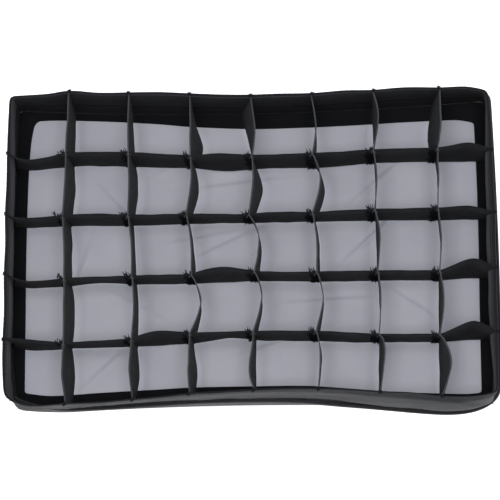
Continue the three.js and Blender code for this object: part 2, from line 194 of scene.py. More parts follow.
def piece(name, shape, *finishes, smooth=True):
    """Makes the shape an object of that name, at the origin, with its finishes."""
    mesh = bpy.data.meshes.new(name)
    shape.to_mesh(mesh)
    shape.free()
    for finish in finishes:
        mesh.materials.append(finish.material)
    if smooth:
        mesh.polygons.foreach_set("use_smooth", [True] * len(mesh.polygons))
    made = bpy.data.objects.new(name, mesh)
    scene.collection.objects.link(made)
    return made


floor_shape = bmesh.new()
bmesh.ops.create_grid(floor_shape, x_segments=8, y_segments=8, size=FLOOR_HALF)
floor = piece("floor", floor_shape, paper)

world = bpy.data.worlds.new("studio")
scene.world = world
world.use_nodes = True
sky = world.node_tree.nodes["Background"]
sky.inputs["Color"].default_value = (0.96, 0.97, 1.0, 1)
sky.inputs["Strength"].default_value = 0.52


def soft_lamp(name, place, size, power):
    lamp = bpy.data.lights.new(name, "AREA")
    lamp.shape = "RECTANGLE"
    lamp.size, lamp.size_y = size
    lamp.energy = power
    holder = bpy.data.objects.new(name, lamp)
    scene.collection.objects.link(holder)
    aim = (Vector(LAMP_TARGET) - Vector(place)).to_track_quat("-Z", "Y")
    holder.matrix_world = Matrix.Translation(place) @ aim.to_matrix().to_4x4()


soft_lamp("overhead_lamp", (0.0, -0.3, 3.0), (1.8, 1.4), 40)
soft_lamp("near_lamp", (0.5, -2.4, 0.9), (2.2, 0.8), 24)
soft_lamp("left_lamp", (-2.2, 0.3, 1.9), (1.0, 1.6), 24)
soft_lamp("right_lamp", (2.2, 0.3, 1.9), (1.0, 1.6), 27)
scene.view_settings.view_transform = "Standard"
scene.view_settings.look = "None"


# ---------------------------------------------------------------- lamp ring
# A cast aluminium ring, black powder coated, that the whole box hangs on. The lamp's own
# insert turns inside it, and the four rods spring from blocks screwed to its front face.
MM = 0.001
ROUND_STEPS = 120
RING_PROFILE = (
    (54.6, 11.0), (57.0, 11.0), (57.6, 11.6), (62.0, 11.6), (62.6, 11.0), (75.2, 11.0),
    (76.0, 11.8), (76.0, 15.2), (74.9, 15.8), (74.9, 19.2), (76.0, 19.8), (76.0, 23.2),
    (75.2, 24.0), (55.4, 24.0), (54.6, 23.2),
)


def metal(name, colour, rough, grain, metallic=1.0, wear=0.0, coat=0.0):
    """Cast or turned metal: a fine grain, uneven gloss, and brighter places where it is rubbed."""
    made = Finish(name, metallic=metallic, roughness=rough, coat_weight=coat)
    spot = made.place()
    broad = made.cloud(spot, 45.0, 5.0)
    fine = made.cloud(spot, grain, 3.0)
    darker = tuple(channel * 0.8 for channel in colour[:3]) + (1,)
    shade = made.mix((broad * 0.6 + fine * 0.4).clipped(0.3, 0.7), darker, colour)
    if wear:
        scuffs = made.cloud(spot, 160.0, 6.0, 0.7).clipped(0.62, 0.72)
        shade = made.mix(scuffs * wear, shade, (0.34, 0.34, 0.35, 1))
    made.surface("Base Color", shade)
    made.surface("Roughness", fine * 0.16 + broad * 0.14 + (rough - 0.15))
    made.surface("Normal", made.relief(fine, 0.00006))
    return made


ring_metal = metal("ring metal", (0.022, 0.022, 0.024, 1), 0.46, 2600.0, 0.25, 0.25, 0.1)
insert_metal = metal("insert metal", (0.62, 0.63, 0.65, 1), 0.34, 900.0)
screw_steel = metal("screw steel", (0.50, 0.50, 0.51, 1), 0.28, 1800.0)


def ease_edges(shape, width, sharp=30, steps=2, longer_than=0.0):
    """Breaks the sharp edges by a small round, as casting, turning and tumbling do."""
    edges = [
        edge for edge in shape.edges
        if edge.is_manifold and edge.calc_face_angle() > math.radians(sharp)
        and edge.calc_length() > longer_than * MM
    ]
    bmesh.ops.bevel(
        shape, geom=edges, offset=width * MM, offset_type="OFFSET", affect="EDGES",
        segments=steps, profile=0.5, material=-1, clamp_overlap=True,
    )


def spun(profile):
    """Turns a closed profile of (radius, height) in mm once round the lamp's axis."""
    shape = bmesh.new()
    verts = [shape.verts.new((radius * MM, 0, height * MM)) for radius, height in profile]
    edges = [
        shape.edges.new((first, second)) for first, second in zip(verts, verts[1:] + verts[:1])
    ]
    bmesh.ops.spin(
        shape, geom=verts + edges, cent=(0, 0, 0), axis=(0, 0, 1), angle=2 * math.pi,
        steps=ROUND_STEPS, use_merge=True,
    )
    bmesh.ops.remove_doubles(shape, verts=shape.verts, dist=1e-7)
    bmesh.ops.recalc_face_normals(shape, faces=shape.faces)
    return shape


def even_shading(made):
    keep = made.modifiers.new("even shading", "WEIGHTED_NORMAL")
    keep.keep_sharp = True
    keep.weight = 80


ring_shape = spun(RING_PROFILE)
ease_edges(ring_shape, 0.25)
speed_ring = piece("lamp_ring", ring_shape, ring_metal)
even_shading(speed_ring)
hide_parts("speed_ring")
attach(speed_ring, "housing")


# ---------------------------------------------------------------- lamp insert
# A turned aluminium insert with a three-lug bayonet skirt, which the lamp locks onto. A flat
# retainer and four screws hold it in the ring, so that the box can be turned on the lamp.
INSERT_PROFILE = (
    (42.0, 0.0), (45.4, 0.0), (46.0, 0.6), (46.0, 8.0), (59.2, 8.0), (60.0, 8.8),
    (60.0, 10.6), (54.0, 10.6), (54.0, 23.7), (53.4, 24.3), (44.6, 24.3), (44.0, 23.7),
    (44.0, 12.0), (42.0, 10.0),
)
LUG_RADII = (45.6, 49.2)
LUG_HEIGHTS = (1.5, 5.5)
LUG_ANGLE = 40
RETAINER_PROFILE = (
    (44.4, 24.7), (59.4, 24.7), (60.0, 25.3), (60.0, 27.1), (59.4, 27.7), (52.6, 27.7),
    (52.2, 27.3), (44.8, 27.3), (44.4, 26.9),
)

insert_shape = spun(INSERT_PROFILE)
for lug in range(3):
    inner, outer = LUG_RADII
    low, high = LUG_HEIGHTS
    corners = ((inner, low), (outer, low), (outer, high - 0.8), (outer - 0.8, high), (inner, high))
    side = [insert_shape.verts.new((radius * MM, 0, level * MM)) for radius, level in corners]
    wall = insert_shape.faces.new(side)
    start = Matrix.Rotation(math.radians(120 * lug - LUG_ANGLE / 2), 3, "Z")
    bmesh.ops.rotate(insert_shape, verts=side, cent=(0, 0, 0), matrix=start)
    bmesh.ops.spin(
        insert_shape, geom=[wall], cent=(0, 0, 0), axis=(0, 0, 1),
        angle=math.radians(LUG_ANGLE), steps=16,
    )
bmesh.ops.recalc_face_normals(insert_shape, faces=insert_shape.faces)
ease_edges(insert_shape, 0.25)
mount_insert = piece("lamp_insert", insert_shape, insert_metal)
even_shading(mount_insert)
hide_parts("mount_insert")
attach(mount_insert, "mount")

retainer_shape = spun(RETAINER_PROFILE)
ease_edges(retainer_shape, 0.2)
insert_retainer = piece("lamp_insert_retainer", retainer_shape, insert_metal)
even_shading(insert_retainer)
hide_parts("insert_retainer")
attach(insert_retainer, "mount")


# ---------------------------------------------------------------- screws
# Zinc-plated button-head machine screws with a hexagon recess. Four hold the retainer from
# the front, and four go through the ring from behind into the rod blocks.
HEAD_STEPS = 24
HEAD_STAGES = ((3.0, 0.7), (2.75, 1.25), (2.1, 1.6), (1.7, 1.7))
HEX_REACH = 1.25
RECESS_RISE = 0.75


def next_ring(shape, face, reach_at, level):
    """Extrudes a round end face to a new height, with its edge at a new reach, both in mm."""
    face = bmesh.ops.extrude_discrete_faces(shape, faces=[face])["faces"][0]
    for vert in face.verts:
        turn = math.atan2(vert.co.y, vert.co.x)
        reach = reach_at(turn) * MM
        vert.co = Vector((math.cos(turn) * reach, math.sin(turn) * reach, level * MM))
    return face


def hexagon(turn):
    """How far the recess's edge lies from the screw's axis, in mm."""
    return HEX_REACH / math.cos(((turn + math.pi / 6) % (math.pi / 3)) - math.pi / 6)


def screw_shape(head_base, shank_end):
    """A screw on the Z axis: the head starts at head_base and the shank runs to shank_end."""
    shape = bmesh.new()
    up = 1 if head_base > shank_end else -1
    bmesh.ops.create_circle(shape, cap_ends=True, segments=HEAD_STEPS, radius=3.0 * MM)
    for vert in shape.verts:
        vert.co.z = head_base * MM
    shape.faces.ensure_lookup_table()
    face = shape.faces[0]
    for radius, rise in HEAD_STAGES:
        face = next_ring(shape, face, lambda turn, radius=radius: radius, head_base + up * rise)
    for rise in (HEAD_STAGES[-1][1], RECESS_RISE):
        face = next_ring(shape, face, hexagon, head_base + up * rise)
    length = abs(head_base - shank_end)
    centre = (head_base - up * (length / 2 - 0.1)) * MM
    bmesh.ops.create_cone(
        shape, cap_ends=True, segments=16, radius1=1.55 * MM, radius2=1.55 * MM,
        depth=(length + 0.2) * MM, matrix=Matrix.Translation((0, 0, centre)),
    )
    bmesh.ops.recalc_face_normals(shape, faces=shape.faces)
    return shape


def add_screw(name, node, body, radius, angle, head_base, shank_end):
    shape = screw_shape(head_base, shank_end)
    bmesh.ops.translate(shape, verts=shape.verts, vec=(radius * MM, 0, 0))
    turn = Matrix.Rotation(math.radians(angle), 3, "Z")
    bmesh.ops.rotate(shape, verts=shape.verts, cent=(0, 0, 0), matrix=turn)
    made = piece(name, shape, screw_steel, smooth=False)
    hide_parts(node)
    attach(made, body)


ROD_END = (279, 177.5)
ROD_ANGLES = [math.degrees(math.atan2(ROD_END[1], ROD_END[0]))]
ROD_ANGLES += [180 - ROD_ANGLES[0], 180 + ROD_ANGLES[0], -ROD_ANGLES[0]]
for i in range(4):
    add_screw(
        f"retainer_button_screw_{i + 1}", f"retainer_screw_{i + 1}", "mount",
        48.5, 45 + 90 * i, 27.4, 19.0,
    )
    add_screw(
        f"socket_button_screw_{i + 1}", f"socket_screw_{i + 1}", "housing",
        68.5, ROD_ANGLES[i], 10.9, 26.0,
    )


# ---------------------------------------------------------------- lock knob
# A black nylon thumb screw, moulded over a steel pin. It goes in through the ring's lower
# side and presses on the insert's hub to stop it from turning.
KNOB_STEPS = 72
KNOB_Z = 15.0
FLUTE_DEPTH = 1.7
KNOB_STAGES = (
    (83.2, 7.4, 0.0), (83.9, 8.3, 0.7), (85.2, 8.6, 1.0), (94.6, 8.6, 1.0), (96.2, 8.1, 0.8),
    (97.0, 7.0, 0.35),
)

knob_plastic = Finish("knob plastic", roughness=0.42)
knob_spot = knob_plastic.place()
knob_grain = knob_plastic.cloud(knob_spot, 2400.0, 2.0)
knob_haze = knob_plastic.cloud(knob_spot, 90.0, 4.0)
knob_plastic.surface(
    "Base Color", knob_plastic.mix(knob_haze, (0.012, 0.012, 0.013, 1), (0.028, 0.028, 0.030, 1))
)
knob_plastic.surface("Roughness", knob_haze * 0.2 + 0.32)
knob_plastic.surface("Normal", knob_plastic.relief(knob_grain, 0.00005))

knob_shape = bmesh.new()
bmesh.ops.create_circle(knob_shape, cap_ends=True, segments=KNOB_STEPS, radius=4.4 * MM)
knob_shape.faces.ensure_lookup_table()
knob_face = knob_shape.faces[0]
for vert in knob_shape.verts:
    vert.co.z = 78.8 * MM
for reach, radius, flute in ((83.0, 4.4, 0.0), *KNOB_STAGES, (96.4, 5.2, 0.0), (96.2, 1.0, 0.0)):
    knob_face = next_ring(
        knob_shape, knob_face,
        lambda turn, radius=radius, flute=flute: (
            radius - FLUTE_DEPTH * flute * max(0.0, math.cos(6 * turn)) ** 1.5
        ),
        reach,
    )
bmesh.ops.create_cone(
    knob_shape, cap_ends=True, segments=24, radius1=2.6 * MM, radius2=3.0 * MM,
    depth=24.4 * MM, matrix=Matrix.Translation((0, 0, 67.0 * MM)),
)
bmesh.ops.recalc_face_normals(knob_shape, faces=knob_shape.faces)
knob_turn = Matrix.Rotation(math.radians(90), 3, "X")
bmesh.ops.rotate(knob_shape, verts=knob_shape.verts, cent=(0, 0, 0), matrix=knob_turn)
bmesh.ops.translate(knob_shape, verts=knob_shape.verts, vec=(0, 0, KNOB_Z * MM))
for face in knob_shape.faces:
    face.material_index = 1 if face.calc_center_median().y > -0.0786 else 0
lock_knob = piece("lock_thumb_screw", knob_shape, knob_plastic, screw_steel)
even_shading(lock_knob)
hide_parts("lock_knob")
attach(lock_knob, "lock_knob")


# ---------------------------------------------------------------- rod blocks
# Small cast blocks on the ring's front face, each drilled on the slant for its rod.
# The CAD solids have the right shape and holes, so only their sharp edges are eased.
for i in range(4):
    block_shape = bmesh.new()
    block_shape.from_mesh(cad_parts[f"rod_socket_{i + 1}"].data)
    bmesh.ops.remove_doubles(block_shape, verts=block_shape.verts, dist=1e-6)
    bmesh.ops.dissolve_limit(
        block_shape, angle_limit=math.radians(1), verts=block_shape.verts,
        edges=block_shape.edges,
    )
    ease_edges(block_shape, 0.6, sharp=60, steps=3, longer_than=9)
    block = piece(f"rod_block_{i + 1}", block_shape, ring_metal, smooth=False)
    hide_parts(f"rod_socket_{i + 1}")
    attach(block, "housing")


# ---------------------------------------------------------------- shell panels
# Four panels of coated black nylon with a silver lining, sewn edge to edge. The rods stretch
# them from the round ring to the oblong front, and they draw in a little between the rods.
SHELL_HALF = (300.4, 196.4)
SEAM_BEND = (271.7, 94.1)
SEAM_START = (79.6, 23.6)
SEAM_END = (math.hypot(*SHELL_HALF), 222.0)
SHELL_CORNER = 14.0
# The lower corners fall short of the frame: where each one is, and how far it falls short.
SLACK_CORNERS = (((298, -194), (-5.5, 4.5), 62), ((-298, -194), (5.5, 7.5), 74))
LONG_BOW = 10.0
SHORT_BOW = 3.0
PANEL_ACROSS = 76
PANEL_ALONG = 72
SHELL_MIDDLE = (0, 0, 150)


def cloth(name, rows, *finishes, round_=False, tube=False, face_from=None):
    """A sheet laid out flat as a grid, then every row of it carried to its place.
    Its cloth map is in metres along and across the sheet. Its outer face looks away
    from face_from, a point in mm, where that is given."""
    count_along = len(rows[0]) - (0 if round_ else 1)
    count_across = len(rows) - (0 if tube else 1)
    shape = bmesh.new()
    bmesh.ops.create_grid(shape, x_segments=count_along, y_segments=count_across, size=0.5)
    mapping = shape.loops.layers.uv.new("cloth")
    length = sum((b - a).length for a, b in zip(rows[0], rows[0][1:])) * MM
    width = sum((b[0] - a[0]).length for a, b in zip(rows, rows[1:])) * MM
    for face in shape.faces:
        for corner in face.loops:
            flat = corner.vert.co
            corner[mapping].uv = ((flat.x + 0.5) * length, (flat.y + 0.5) * width)
    for vert in shape.verts:
        along = round((vert.co.x + 0.5) * count_along) % len(rows[0])
        across = round((vert.co.y + 0.5) * count_across) % len(rows)
        vert.co = rows[across][along] * MM
    if round_ or tube:
        bmesh.ops.remove_doubles(shape, verts=shape.verts, dist=1e-7)
    bmesh.ops.recalc_face_normals(shape, faces=shape.faces)
    if face_from is not None:
        inside = Vector(face_from) * MM
        facing = sum(
            face.normal.dot(face.calc_center_median() - inside) * face.calc_area()
            for face in shape.faces
        )
        if facing < 0:
            bmesh.ops.reverse_faces(shape, faces=shape.faces)
    return piece(name, shape, *finishes)


def give_thickness(sheet, thickness, offset=0.0):
    made = sheet.modifiers.new("thickness", "SOLIDIFY")
    made.thickness = thickness * MM
    made.offset = offset
    made.use_even_offset = False
    return made


def wander(place, size, seed):
    """A smooth wander between -1 and 1 that changes over about this many mm."""
    return noise.noise(Vector(place) / size + Vector((seed * 7.3, seed * 3.1, seed * 1.7)))


def woven(name, thread, dark, light, rough=0.78, depth=0.0002, sheen=0.04, edge=None):
    """Plain woven polyester: two sets of threads that cross, faded a little in patches.
    Above the height of edge, in metres, the colour is mixed part way towards a lighter one."""
    made = Finish(name, roughness=rough, sheen_weight=sheen, sheen_roughness=0.5)
    spot = made.cloth_place()
    u, v, _ = made.parts(spot)
    turn = 2 * math.pi / thread
    warp = abs((u * turn).sine())
    weft = abs((v * turn).sine())
    check = ((u * (turn / 2)).sine() * (v * (turn / 2)).sine()).above(0)
    weave = warp * check + weft * (1 - check)
    patches = made.cloud(made.place(), 14.0, 4.0)
    slubs = made.cloud(spot, 900.0, 2.0)
    tone = (patches * 0.55 + slubs * 0.3 + weave * 0.25).clipped(0.25, 0.85)
    colour = made.mix(tone, dark, light)
    if edge:
        height, edge_colour = edge
        above = made.parts(made.place())[2].above(height)
        colour = made.mix(above * (patches * 0.5 + 0.5), colour, edge_colour)
    made.surface("Base Color", colour)
    made.surface("Roughness", patches * 0.12 + (rough - 0.06))
    creases = made.cloud(made.place(), 38.0, 3.0)
    under = made.relief(creases, 0.0012)
    made.surface("Normal", made.relief(weave * 0.8 + slubs * 0.2, depth, under))
    made.shader.inputs["Specular IOR Level"].default_value = 0.12
    return made


def slack_corner(spot):
    """How far the cloth falls short of the frame near a lower corner."""
    short = Vector((0, 0))
    for corner, pull, spread in SLACK_CORNERS:
        near = max(0.0, 1 - (Vector((spot.x, spot.y)) - Vector(corner)).length / spread)
        short += Vector(pull) * near ** 1.5
    return short


def shell_spot(side, share, along):
    """A point of the shell: side 0 to 3 is top, right, bottom or left; share runs between
    its corner seams from -1 to 1, and along runs from the ring at 0 to the front at 1."""
    is_long = side in (0, 2)
    points = (Vector(SEAM_START), Vector(SEAM_BEND), Vector(SEAM_END))
    reach, height = (
        points[0] * (1 - along) ** 2 + points[1] * (2 * along * (1 - along))
        + points[2] * along ** 2
    )
    corner_angle = math.atan2(SHELL_HALF[1], SHELL_HALF[0])
    middle = math.pi / 2 if is_long else 0.0
    spread = math.pi / 2 - corner_angle if is_long else corner_angle
    angle = middle - share * spread
    around = Vector((reach * math.cos(angle), reach * math.sin(angle)))
    bow = LONG_BOW if is_long else -SHORT_BOW
    corner = SHELL_CORNER / 4 * abs(share) ** 24
    out = reach * math.cos(spread) - along * (bow * (1 - share * share) + corner)
    across = share * (reach * math.sin(spread) - along * SHELL_CORNER / 4)
    square = Vector((across, out)) if is_long else Vector((out, -across))
    flat = around.lerp(square, 1 - (1 - along) ** 3)
    if side in (2, 3):
        flat = -flat
    flat = flat + slack_corner(flat) * max(0.0, (along - 0.8) / 0.2) ** 2
    return Vector((flat.x, flat.y, height))


def shell_out(side, share, along):
    """The way out of the shell at that point."""
    step = 0.004
    low, high = max(0.0, along - step), min(1.0, along + step)
    left, right = max(-1.0, share - step), min(1.0, share + step)
    run = shell_spot(side, share, high) - shell_spot(side, share, low)
    over = shell_spot(side, right, along) - shell_spot(side, left, along)
    out = run.cross(over).normalized()
    return out if out.dot(shell_spot(side, share, along) - Vector(SHELL_MIDDLE)) > 0 else -out


def panel_give(side, share, along):
    """How far the cloth stands off its drum-tight shape, in mm: drawn in between the rods,
    gathered at the ring, and creased along the pull between the ring and the corners."""
    between = (1 - share * share) * math.sin(math.pi * along)
    drawn_in = -5.5 * between
    gathers = 2.0 * math.exp(-along / 0.09) * math.sin(share * 17 + side * 1.3 + 2 * share ** 2)
    pull = wander((share * 190, along * 26, side * 50), 24, 51) * 2.3
    pull += wander((share * 330, along * 60, side * 50), 24, 52) * 0.9
    toward_corner = abs(share) ** 3 * wander((along * 60, share * 90, side * 9), 12, 53) * 2.0
    soft = wander((share * 200, along * 200, side * 90), 60, 54) * 1.2
    edges = min(1.0, (1 - abs(share)) * 9) * min(1.0, (1 - along) * 10) * min(1.0, along * 22)
    return drawn_in + (gathers + pull + toward_corner + soft) * edges


nylon = Finish("shell nylon", roughness=0.5)
nylon.shader.inputs["Specular IOR Level"].default_value = 0.22
nylon_spot = nylon.cloth_place()
nylon_u, nylon_v, _ = nylon.parts(nylon_spot)
NYLON_THREAD = 2 * math.pi / 0.0011
nylon_weave = abs((nylon_u * NYLON_THREAD).sine()) * 0.5 + abs((nylon_v * NYLON_THREAD).sine()) * 0.5
nylon_patches = nylon.cloud(nylon.place(), 11.0, 5.0)
nylon_lint = nylon.cloud(nylon.place(), 340.0, 2.0).clipped(0.69, 0.76)
nylon_colour = nylon.mix(
    (nylon_patches * 0.8 + nylon_weave * 0.2).clipped(0.25, 0.8),
    (0.008, 0.0082, 0.0095, 1), (0.019, 0.0195, 0.022, 1),
)
nylon.surface("Base Color", nylon.mix(nylon_lint * 0.14, nylon_colour, (0.3, 0.3, 0.32, 1)))
nylon.surface("Roughness", nylon_patches * 0.16 + 0.40)
nylon_creases = nylon.cloud(nylon.place(), 30.0, 5.0, 0.6)
nylon_under = nylon.relief(nylon_creases, 0.0022)
nylon.surface("Normal", nylon.relief(nylon_weave, 0.00022, nylon_under))

silver = Finish("silver lining", metallic=0.9, roughness=0.34)
silver_spot = silver.place()
silver_crinkle = silver.cloud(silver_spot, 95.0, 5.0, 0.65)
silver_broad = silver.cloud(silver_spot, 17.0, 3.0)
silver.surface(
    "Base Color", silver.mix(silver_broad, (0.62, 0.63, 0.65, 1), (0.80, 0.80, 0.81, 1))
)
silver.surface("Roughness", silver_crinkle * 0.25 + 0.22)
silver.surface("Normal", silver.relief(silver_crinkle, 0.0009))

SIDE_NAMES = ("top", "right", "bottom", "left")
# Each panel is cut as a trapezium: its front edge, its arc of the ring, and a seam on each side
# as long as the rod's path. These are its flat width and height in metres, and
# its area in square metres.
for side, side_name in enumerate(SIDE_NAMES):
    panel_rows = []
    for row in range(PANEL_ALONG + 1):
        along = row / PANEL_ALONG
        line = []
        for column in range(PANEL_ACROSS + 1):
            share = math.sin(math.pi / 2 * (2 * column / PANEL_ACROSS - 1))
            spot = shell_spot(side, share, along)
            give = panel_give(side, share, along)
            line.append(spot + shell_out(side, share, along) * give)
        panel_rows.append(line)
    panel = cloth(f"shell_panel_{side_name}", panel_rows, nylon, silver, face_from=SHELL_MIDDLE)
    give_thickness(panel, 0.9, offset=-1.0).material_offset = 1
    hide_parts(f"panel_{side_name}")
    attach(panel, "housing")


# ---------------------------------------------------------------- corner seams
# Where two panels meet, their edges are turned out together and bound with a folded nylon
# tape, sewn through with one row of stitches. It makes a low ridge along each corner.
SEAM_STEPS = 170
SEAM_PROFILE = (
    (-3.4, -0.5), (-3.0, 0.5), (-1.6, 1.0), (-0.9, 2.4), (-0.3, 4.2), (0.3, 4.2), (0.9, 2.4),
    (1.6, 1.0), (3.0, 0.5), (3.4, -0.5), (0.0, -0.9),
)
seam_tape = woven(
    "seam tape", 0.0010, (0.007, 0.0073, 0.009, 1), (0.019, 0.0195, 0.023, 1), 0.6, 0.0003, 0.06
)
for corner, (side, share) in enumerate(((0, 1), (2, -1), (2, 1), (0, -1))):
    line = []
    for step in range(SEAM_STEPS + 1):
        along = 0.012 + 0.983 * step / SEAM_STEPS
        spot = shell_spot(side, share, along)
        ahead = shell_spot(side, share, min(1.0, along + 0.004))
        back = shell_spot(side, share, max(0.0, along - 0.004))
        run = (ahead - back).normalized()
        over = run.cross(Vector((0, 0, 1))).normalized()
        out = over.cross(run).normalized()
        if out.dot(spot - Vector(SHELL_MIDDLE)) < 0:
            out = -out
        line.append((spot, over, out))
    seam_rows = []
    for across, up in SEAM_PROFILE:
        row = []
        for step, (spot, over, out) in enumerate(line):
            pucker = 0.25 * math.sin(step * 2.2 + corner) + 0.35 * wander(spot, 11, 60 + corner)
            row.append(spot + over * (across + pucker * 0.6) + out * (up * (1 + 0.12 * pucker)))
        seam_rows.append(row)
    seam = cloth(f"corner_seam_{corner + 1}", seam_rows, seam_tape, tube=True)
    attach(seam, "housing")


# ---------------------------------------------------------------- rear collar
# An elastic casing gathers the shell's back edge round the ring. The cloth is pleated
# finely where the elastic draws it in.
COLLAR_STEPS = 540
COLLAR_PROFILE = (
    (76.7, 17.6), (77.7, 16.9), (79.0, 17.6), (79.7, 19.6), (79.8, 21.6), (80.6, 23.6),
    (81.6, 25.4), (79.8, 26.2), (78.0, 26.6), (76.8, 25.9), (76.5, 22.0),
)
collar_rows = []
for radius, level in COLLAR_PROFILE:
    row = []
    for step in range(COLLAR_STEPS):
        turn = 2 * math.pi * step / COLLAR_STEPS
        pleat = math.sin(turn * 72 + 1.6 * wander((90 * math.cos(turn), 90 * math.sin(turn), 0), 14, 70))
        loose = max(0.0, (radius - 77.0) / 4.5)
        reach = radius + 0.55 * pleat * loose
        lift = 0.3 * pleat * loose
        row.append(Vector((reach * math.cos(turn), reach * math.sin(turn), level + lift)))
    collar_rows.append(row)
collar = cloth("rear_elastic_collar", collar_rows, seam_tape, round_=True, tube=True)
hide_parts("rear_collar")
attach(collar, "housing")


# ---------------------------------------------------------------- front lip
# A band of doubled nylon sewn to the panels' front edges. Its front edge is bound, and a loop
# tape inside it holds the diffuser and the grid. Along the bottom it bags outwards.
LONG_STEPS = 280
SHORT_STEPS = 180
CORNER_PASSES = 10


def read_edge(edge, at):
    """How far across an edge lies at a place along it, on one smooth run through its places."""
    last = len(edge) - 1
    spot = 0
    while spot < last - 1 and at > edge[spot + 1][0]:
        spot += 1
    before, start, end, after = (
        edge[max(0, min(last, spot + step))] for step in (-1, 0, 1, 2)
    )
    span = end[0] - start[0]
    lead = (end[1] - before[1]) / (end[0] - before[0])
    trail = (after[1] - start[1]) / (after[0] - start[0])
    t = max(0.0, min(1.0, (at - start[0]) / span))
    rise = end[1] - start[1]
    return (
        start[1]
        + rise * t * t * (3 - 2 * t)
        + lead * span * t * (1 - t) ** 2
        - trail * span * t * t * (1 - t)
    )


def ease_corners(ring, passes):
    for _ in range(passes):
        ring = [
            ring[i - 1] * 0.25 + ring[i] * 0.5 + ring[(i + 1) % len(ring)] * 0.25
            for i in range(len(ring))
        ]
    return ring


def ring_round(top, bottom, left, right, passes=CORNER_PASSES):
    """A closed outline through the four edges, counter-clockwise from the lower left corner."""
    ring = []
    for edge, start, end, steps in (
        (bottom, left[0][1], right[0][1], LONG_STEPS),
        (right, bottom[-1][1], top[-1][1], SHORT_STEPS),
        (top, right[-1][1], left[-1][1], LONG_STEPS),
        (left, top[0][1], bottom[0][1], SHORT_STEPS),
    ):
        for step in range(steps):
            at = start + (end - start) * step / steps
            across = read_edge(edge, at)
            ring.append(Vector((at, across) if edge in (bottom, top) else (across, at)))
    return ease_corners(ring, passes)


def bowed(half_length, half_width):
    """The four edges of an even outline whose long sides are drawn in and short sides are full."""
    shares = [step / 4 for step in range(-4, 5)]
    top = [(x * half_length, half_width - LONG_BOW * (1 - x * x)) for x in shares]
    right = [(y * half_width, half_length + SHORT_BOW * (1 - y * y)) for y in shares]
    bottom = [(x, -y) for x, y in top]
    left = [(y, -x) for y, x in right]
    return top, bottom, left, right


def moved_out(ring, distance):
    """The outline moved outwards by a distance, or inwards where it is negative."""
    moved = []
    for i, spot in enumerate(ring):
        run = ring[(i + 1) % len(ring)] - ring[i - 1]
        out = Vector((run.y, -run.x)).normalized()
        moved.append(spot + out * distance)
    return moved


def frame_outline(half_length, half_width, passes=CORNER_PASSES):
    """The frame's bowed outline, as the cloth follows it, with its two slack lower corners."""
    ring = ring_round(*bowed(half_length, half_width), passes)
    return [spot + slack_corner(spot) for spot in ring]


def at_level(spot, level):
    """A place of an outline at a height, in mm."""
    return Vector((spot.x, spot.y, level))


front_outline = frame_outline(301.3, 197.3, 30)

# Where the lip's front edge runs along the bottom and the top, in mm.
LIP_BOTTOM = (
    (-297, -176), (-280, -184), (-262, -189), (-232, -194), (-185, -193.5), (-124, -190.5),
    (-63, -187.5), (10, -187), (60, -188.5), (95, -192), (140, -196.5), (179, -200.5),
    (230, -205), (258, -204), (278, -199), (292, -191), (299, -185),
)
LIP_TOP = (
    (-301, 196), (-220, 194.5), (-120, 190), (0, 187.8), (120, 190), (220, 194), (301, 196),
)
LIP_LEFT = ((-178, -297), (-150, -300.5), (-100, -303), (0, -303.8), (100, -303), (196, -301))
LIP_RIGHT = ((-186, 299), (-160, 302), (-100, 303), (0, 303.8), (100, 303), (196, 301))
LIP_HEIGHTS = (218.5, 220, 222, 224, 227, 230, 234, 238, 242, 245, 248, 250.5, 252)
lip_ring = ring_round(LIP_TOP, LIP_BOTTOM, LIP_LEFT, LIP_RIGHT, 24)


def lip_line(level, out=0.0):
    share = max(0.0, min(1.0, (level - 222) / 30))
    eased = share * share * (3 - 2 * share)
    line = []
    for base, front in zip(moved_out(front_outline, out), moved_out(lip_ring, out)):
        spot = base.lerp(front, eased)
        ripple = wander((spot.x, spot.y, level * 2), 30, 81) * 0.9 * math.sin(math.pi * share)
        line.append(at_level(spot + spot.normalized() * ripple, level))
    return line


lip_cloth = woven("lip cloth", 0.0010, (0.020, 0.0205, 0.0235, 1), (0.046, 0.047, 0.052, 1), 0.66)
front_lip = cloth(
    "front_lip_band", [lip_line(level) for level in LIP_HEIGHTS], lip_cloth,
    round_=True, face_from=SHELL_MIDDLE,
)
give_thickness(front_lip, 1.3)
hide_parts("front_lip")
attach(front_lip, "housing")

LIP_HEM_PROFILE = (
    (1.15, -7.0), (1.35, -3.5), (1.3, -0.8), (0.7, 0.5), (-0.2, 0.7), (-1.0, 0.2), (-1.25, -1.0),
    (-1.2, -4.0), (-1.0, -7.0), (0.0, -7.3),
)
lip_tape = woven(
    "lip binding tape", 0.0014, (0.020, 0.0205, 0.0235, 1), (0.060, 0.061, 0.066, 1), 0.62, 0.0003
)
lip_hem_rows = []
for out, up in LIP_HEM_PROFILE:
    row = []
    for spot in lip_line(252.0 + up, out):
        row.append(spot + Vector((0, 0, 0.5 * wander(spot, 26, 83))))
    lip_hem_rows.append(row)
lip_hem = cloth("front_lip_binding", lip_hem_rows, lip_tape, round_=True, tube=True)
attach(lip_hem, "housing")


def tufted(name, colour, tip):
    """Hook or loop tape: a dense pile of tiny nylon loops on a woven back."""
    made = Finish(name, roughness=0.9, sheen_weight=0.15, sheen_roughness=0.6)
    spot = made.place()
    pile = made.node(
        "ShaderNodeTexVoronoi", {"feature": "F1"}, {"Vector": spot, "Scale": 900.0}
    )
    drift = made.cloud(spot, 60.0, 3.0)
    tone = (pile * 0.8 + drift * 0.4).clipped(0.2, 0.9)
    made.surface("Base Color", made.mix(tone, colour, tip))
    made.surface("Normal", made.relief(pile, 0.0006))
    return made


